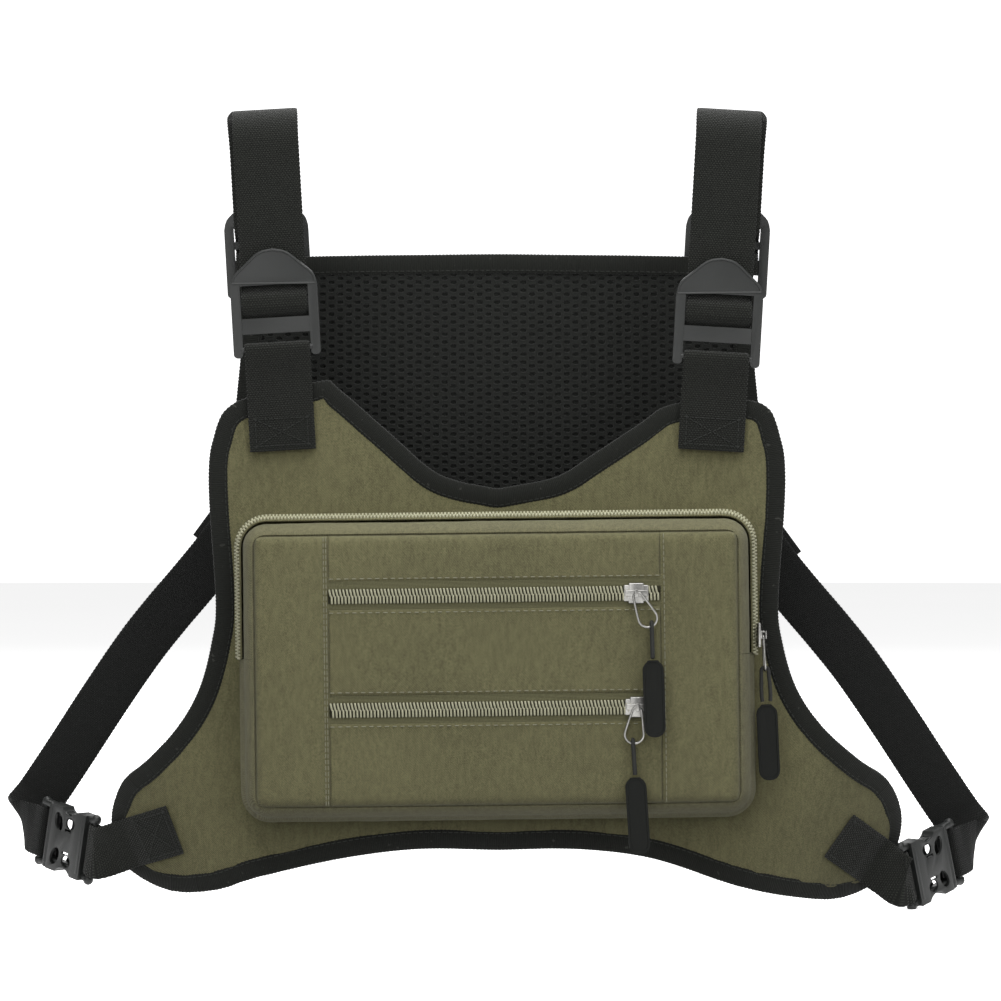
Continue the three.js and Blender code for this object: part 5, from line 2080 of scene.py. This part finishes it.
@dataclass(frozen=True)
class LadderLock:
    """A moulded ladder lock, with a raised rim along its lifting tab."""

    side: Side
    place: str
    edge: float = 0.75 * MM
    rim: float = 0.75 * MM

    def build(self) -> None:
        """Moulds the lock and its rim."""
        node = f"{self.side.value}_{self.place}_ladder_lock"
        body = f"{self.side.value}_{self.place}_lock"
        lock = softened(copied(node), self.edge, 3)
        way = Vector((0, -1 if self.place == "front" else 1, 0))
        outline = rims(node, way)[0]
        smooth = smooth_through(outline, True, 0.9 * MM)
        top = smooth[:, 2].max()
        start = int(smooth[:, 2].argmin())
        dome = np.roll(smooth, -start, 0)
        dome = dome[dome[:, 2] > top - 21 * MM]
        middle = dome.mean(0)
        inward = unit((middle - dome) * np.array((1, 0, 1)))
        dome = dome + inward * self.rim * 1.1 + np.array(way) * -0.1 * MM
        rim_line = Path(dome, np.tile(np.array(way), (len(dome), 1)))
        tube = sweep(rim_line, round_section(self.rim, 8))
        ends = dome[[0, -1]]
        bar = np.linspace(ends[0], ends[1], 24)
        tube_low = sweep(Path(bar, np.tile(np.array(way), (24, 1))), round_section(self.rim, 8))
        obj = joined(node, [lock, tube, tube_low])
        deliver(obj, f"{self.side.value}_{self.place}_lock_moulding", Finish.PLASTIC, body, [node],
                35)


@dataclass(frozen=True)
class ShoulderStrap:
    """One shoulder strap, its two locks, and the short straps that hold the locks."""

    side: Side
    width: float = 38 * MM
    thickness: float = 1.6 * MM
    bend: tuple[float, float] = (40 * MM, 88 * MM)

    def build(self) -> None:
        """Makes the strap in two lengths that join on the shoulder, then its fittings."""
        side = self.side.value
        node = f"{side}_shoulder_webbing"
        strap = Strap(node, self.width, self.thickness)
        line = strap.line()
        if line.at[0][1] > line.at[-1][1]:
            line = line.turned_round()
        top = line.travelled[line.at[:, 2].argmax()]
        halves = {"front": line.part(0, top + 0.4 * MM), "back": line.part(top - 0.2 * MM, 1.0)}
        for place, part in halves.items():
            joint = next(j for j in frame["joints"] if j["name"] == f"{side}_{place}_lock_tilt")
            pivot = Vector(joint["pos_m"])
            low, high = (pivot + Vector((0, 0, above)) for above in self.bend)
            bend = ("vest", f"{side}_{place}_lock", high, low)
            strap.sewn(f"{side}_shoulder_strap_{place}", bend, part)
            LadderLock(self.side, place).build()
            loop = Strap(f"{side}_{place}_loop_strap", self.width, self.thickness)
            short = loop.line()
            loop.sewn(f"{side}_{place}_short_strap", "vest", short)
            self._hem(place, short)

    def _hem(self, place: str, short: Path) -> None:
        """Sews down the foot of a short strap.

        Args:
            place: "front" or "back".
            short: The strap's line.
        """
        side = self.side.value
        forward = -1 if place == "front" else 1
        foot_first = (short.at[0][1] - short.at[-1][1]) * forward > 0
        line = short if foot_first else short.turned_round()
        out = self.thickness / 2 + 0.1 * MM
        if line.normal[0][1] * forward < 0:
            out = -out
        box = strap_rows(line, 2.5 * MM, 19 * MM, self.width / 2 - 4 * MM, out)
        deliver(box, f"{side}_{place}_strap_stitches", Finish.BLACK_STITCH, "vest", ())


@dataclass(frozen=True)
class Buckle:
    """A side-release buckle: a windowed socket, and an insert with two sprung prongs."""

    side: Side
    out: Vector
    normal: Vector
    up: Vector
    centre: Vector

    def _placed(self, obj: bpy.types.Object) -> bpy.types.Object:
        """Moves a piece from the buckle's own directions to the vest's."""
        turn = np.array([tuple(self.out), tuple(self.normal), tuple(self.up)])
        place_points(obj, points_of(obj) @ turn + np.array(self.centre))
        face_out(obj)
        return obj

    def _block(
        self, low: tuple[float, float, float], high: tuple[float, float, float], edge: float = 0.0
    ) -> bpy.types.Object:
        """A block with rounded edges, in millimetres.

        Args:
            low: One corner.
            high: The opposite corner.
            edge: How wide its rounded edges are.

        Returns:
            The block.
        """
        deselect_all()
        middle = [(a + b) / 2 * MM for a, b in zip(low, high)]
        bpy.ops.mesh.primitive_cube_add(size=1, location=middle)
        made = bpy.context.object
        made.scale = [(b - a) * MM for a, b in zip(low, high)]
        at_origin(made)
        return softened(made, edge * MM, 3) if edge else made

    def _rod(self, x: float, low: float, high: float, radius: float, ball: float) -> bpy.types.Object:
        """A round bar across the buckle with bulged ends, in millimetres.

        Args:
            x: How far out from the buckle's middle it is.
            low: Its lower end.
            high: Its upper end.
            radius: Its radius.
            ball: Its ends' radius.

        Returns:
            The bar.
        """
        deselect_all()
        bpy.ops.mesh.primitive_cylinder_add(
            vertices=20, radius=radius * MM, depth=(high - low) * MM,
            location=(x * MM, 0, (low + high) / 2 * MM),
        )
        parts = [bpy.context.object]
        at_origin(parts[0])
        for end in (low, high):
            deselect_all()
            bpy.ops.mesh.primitive_uv_sphere_add(
                segments=20, ring_count=12, radius=ball * MM, location=(x * MM, 0, end * MM)
            )
            at_origin(bpy.context.object)
            parts.append(bpy.context.object)
        return joined("rod", parts)

    def _cut(self, body: bpy.types.Object, cutters: Sequence[bpy.types.Object]) -> None:
        """Cuts shapes out of a body.

        Args:
            body: The body.
            cutters: The shapes, which are used up.
        """
        cutter = joined("cutter", list(cutters))
        face_out(cutter)
        modified(body, "BOOLEAN", operation="DIFFERENCE", object=cutter, solver="EXACT",
                 use_self=True)
        bpy.data.objects.remove(cutter)

    def _oval(
        self, x: float, z: float, half_x: float, half_z: float, lean: float = 0.0
    ) -> bpy.types.Object:
        """An oval cutter that goes right through, in millimetres.

        Args:
            x: Its middle's place along the buckle.
            z: Its middle's place across it.
            half_x: Half its length along the buckle.
            half_z: Half its length across it.
            lean: How far it is turned.

        Returns:
            The cutter.
        """
        deselect_all()
        bpy.ops.mesh.primitive_cylinder_add(vertices=28, radius=1, depth=20 * MM,
                                            rotation=(math.pi / 2, 0, 0))
        made = bpy.context.object
        at_origin(made)
        made.scale = (half_x * MM, 1, half_z * MM)
        at_origin(made)
        made.rotation_euler = (0, lean, 0)
        made.location = (x * MM, 0, z * MM)
        at_origin(made)
        return made

    def build_socket(self) -> None:
        """Moulds the socket, with its windows, side cut-outs and bar."""
        body = self._block((-17.6, -4.5, -19.5), (11.85, 4.5, 19.5))
        hollow = self._block((-12.4, -3.0, -17.1), (14, 3.0, 17.1))
        self._cut(body, [hollow])
        windows = []
        for sign in (-1, 1):
            windows.append(self._oval(5.0, sign * 10.4, 3.4, 5.6, sign * 0.35))
            windows.append(self._oval(-5.2, sign * 11.5, 3.9, 3.6, 0))
            windows.append(self._oval(-3.2, sign * 22.2, 7.4, 6.3, 0))
            windows.append(self._block((-6.6, -6, sign * 6.9 - 0.8), (-1.0, 6, sign * 6.9 + 0.8)))
        self._cut(body, windows)
        softened(body, 0.7 * MM, 3)
        rails = [
            self._block((-24.0, -2.6, sign * 17.5 - 1.9), (-14.5, 2.6, sign * 17.5 + 1.9), 1.2)
            for sign in (-1, 1)
        ]
        ribs = [
            self._block((-16.2, -4.75 if s < 0 else 4.1, -16), (-14.4, -4.1 if s < 0 else 4.75, 16), 0.25)
            for s in (-1, 1)
        ]
        obj = joined("socket", [body, *rails, *ribs, self._rod(-22.15, -18.2, 18.2, 2.0, 3.0)])
        name = f"{self.side.value}_buckle_socket"
        deliver(self._placed(obj), f"{name}_moulding", Finish.PLASTIC, "vest", [name], 35)

    def build_insert(self) -> None:
        """Moulds the insert: its shoulder, its rails, its tongue and its bar."""
        shoulder = self._block((12.15, -4.5, -19.5), (15.15, 4.5, 19.5), 1.1)
        lip = self._block((13.0, -4.9, -16.5), (14.3, 4.9, 16.5), 0.5)
        rails = [
            self._block((14.2, -2.6, sign * 17.6 - 1.9), (24.4, 2.6, sign * 17.6 + 1.9), 1.2)
            for sign in (-1, 1)
        ]
        tongue = self._block((-7.85, -2, -2), (13, 2, 2), 0.8)
        bar = self._rod(22.15, -18.0, 18.0, 2.0, 2.9)
        obj = joined("insert", [shoulder, lip, *rails, tongue, bar])
        side = self.side.value
        name = f"{side}_buckle_insert"
        deliver(
            self._placed(obj), f"{name}_moulding", Finish.PLASTIC, f"{side}_insert", [name],
            35,
        )

    def build_prongs(self) -> None:
        """Moulds the prongs, whose rounded pads show in the socket's sides."""
        side = self.side.value
        for place in ("upper", "lower"):
            node = f"{side}_{place}_prong"
            obj = softened(copied(node), 0.6 * MM, 3)
            deliver(obj, f"{node}_moulding", Finish.PLASTIC, f"{side}_{place}_prong_arm", [node],
                    40)

    def build(self) -> None:
        """Builds the whole buckle."""
        self.build_socket()
        self.build_insert()
        self.build_prongs()


@dataclass(frozen=True)
class SideFastening:
    """A wing strap, a buckle, the side strap behind it and the tab that anchors the strap."""

    buckle: Buckle
    width: float = 30 * MM
    thickness: float = 1.5 * MM
    insert_bar: float = 30 * MM
    bend_end: float = 50 * MM

    def build(self) -> None:
        """Makes the straps, then the buckle."""
        side = self.buckle.side.value
        wing = Strap(f"{side}_wing_strap", self.width, self.thickness)
        line = wing.line()
        if abs(line.at[0][0]) > abs(line.at[-1][0]):
            line = line.turned_round()
        wing.sewn(f"{side}_wing_webbing", "vest", line)
        out = self.thickness / 2 + 0.12 * MM
        if line.normal[0][1] > 0:
            out = -out
        box = strap_rows(line, 2.2 * MM, 24 * MM, self.width / 2 - 3 * MM, out)
        deliver(box, f"{side}_wing_stitches", Finish.BLACK_STITCH, "vest", ())
        strap = Strap(f"{side}_side_strap", self.width, self.thickness, Finish.SIDE_WEBBING)
        insert = self.buckle.centre + self.buckle.out * self.insert_bar
        far = self.buckle.centre + self.buckle.out * self.bend_end
        behind = Vector((math.copysign(0.20, insert.x), 0.07, insert.z + 0.07))
        strap.sewn(f"{side}_side_webbing", (f"{side}_insert", "vest", far, behind))
        anchor = softened(copied(f"{side}_strap_anchor"), 0.5 * MM, 2)
        self._map_flat(anchor)
        deliver(anchor, f"{side}_anchor_tab", Finish.SIDE_WEBBING, "vest",
                [f"{side}_strap_anchor"])
        self.buckle.build()

    def _map_flat(self, obj: bpy.types.Object) -> None:
        """Maps a flat piece by its place across and up."""
        if not obj.data.uv_layers:
            obj.data.uv_layers.new(name="UVMap")
        map_points(obj, points_of(obj)[:, [0, 2]])


def buckles() -> list[Buckle]:
    """The two buckles, where the frame holds them."""
    left = Buckle(
        Side.LEFT,
        Vector((-0.727966, 0.655464, 0.201078)),
        Vector((-0.669131, -0.743145, 0)),
        Vector((0.14943, -0.134547, 0.979575)),
        Vector((-0.254, 0.044, -0.428)),
    )
    right = Buckle(
        Side.RIGHT,
        Vector((0.714713, 0.643531, 0.273959)),
        Vector((-0.669131, 0.743145, 0)),
        Vector((-0.203591, -0.183314, 0.961741)),
        Vector((0.256, 0.041, -0.442)),
    )
    return [left, right]


def main() -> None:
    """Builds the studio and the vest."""
    logging.basicConfig(level=logging.INFO, format="%(message)s")
    studio = Studio()
    studio.set_camera()
    pulls = [
        ZipPull("upper", FORWARD),
        ZipPull("lower", FORWARD),
        ZipPull("main", Vector((1, 0, 0))),
    ]
    for pull in pulls:
        pull.build_cord()
    for pull in pulls:
        pull.build_ring()
        pull.build_slider()
    FrontPanel().build()
    BackPanel().build()
    Pocket().build()
    for side in Side:
        ShoulderStrap(side).build()
    for buckle in buckles():
        SideFastening(buckle).build()
    studio.build()


if __name__ == "__main__":
    main()
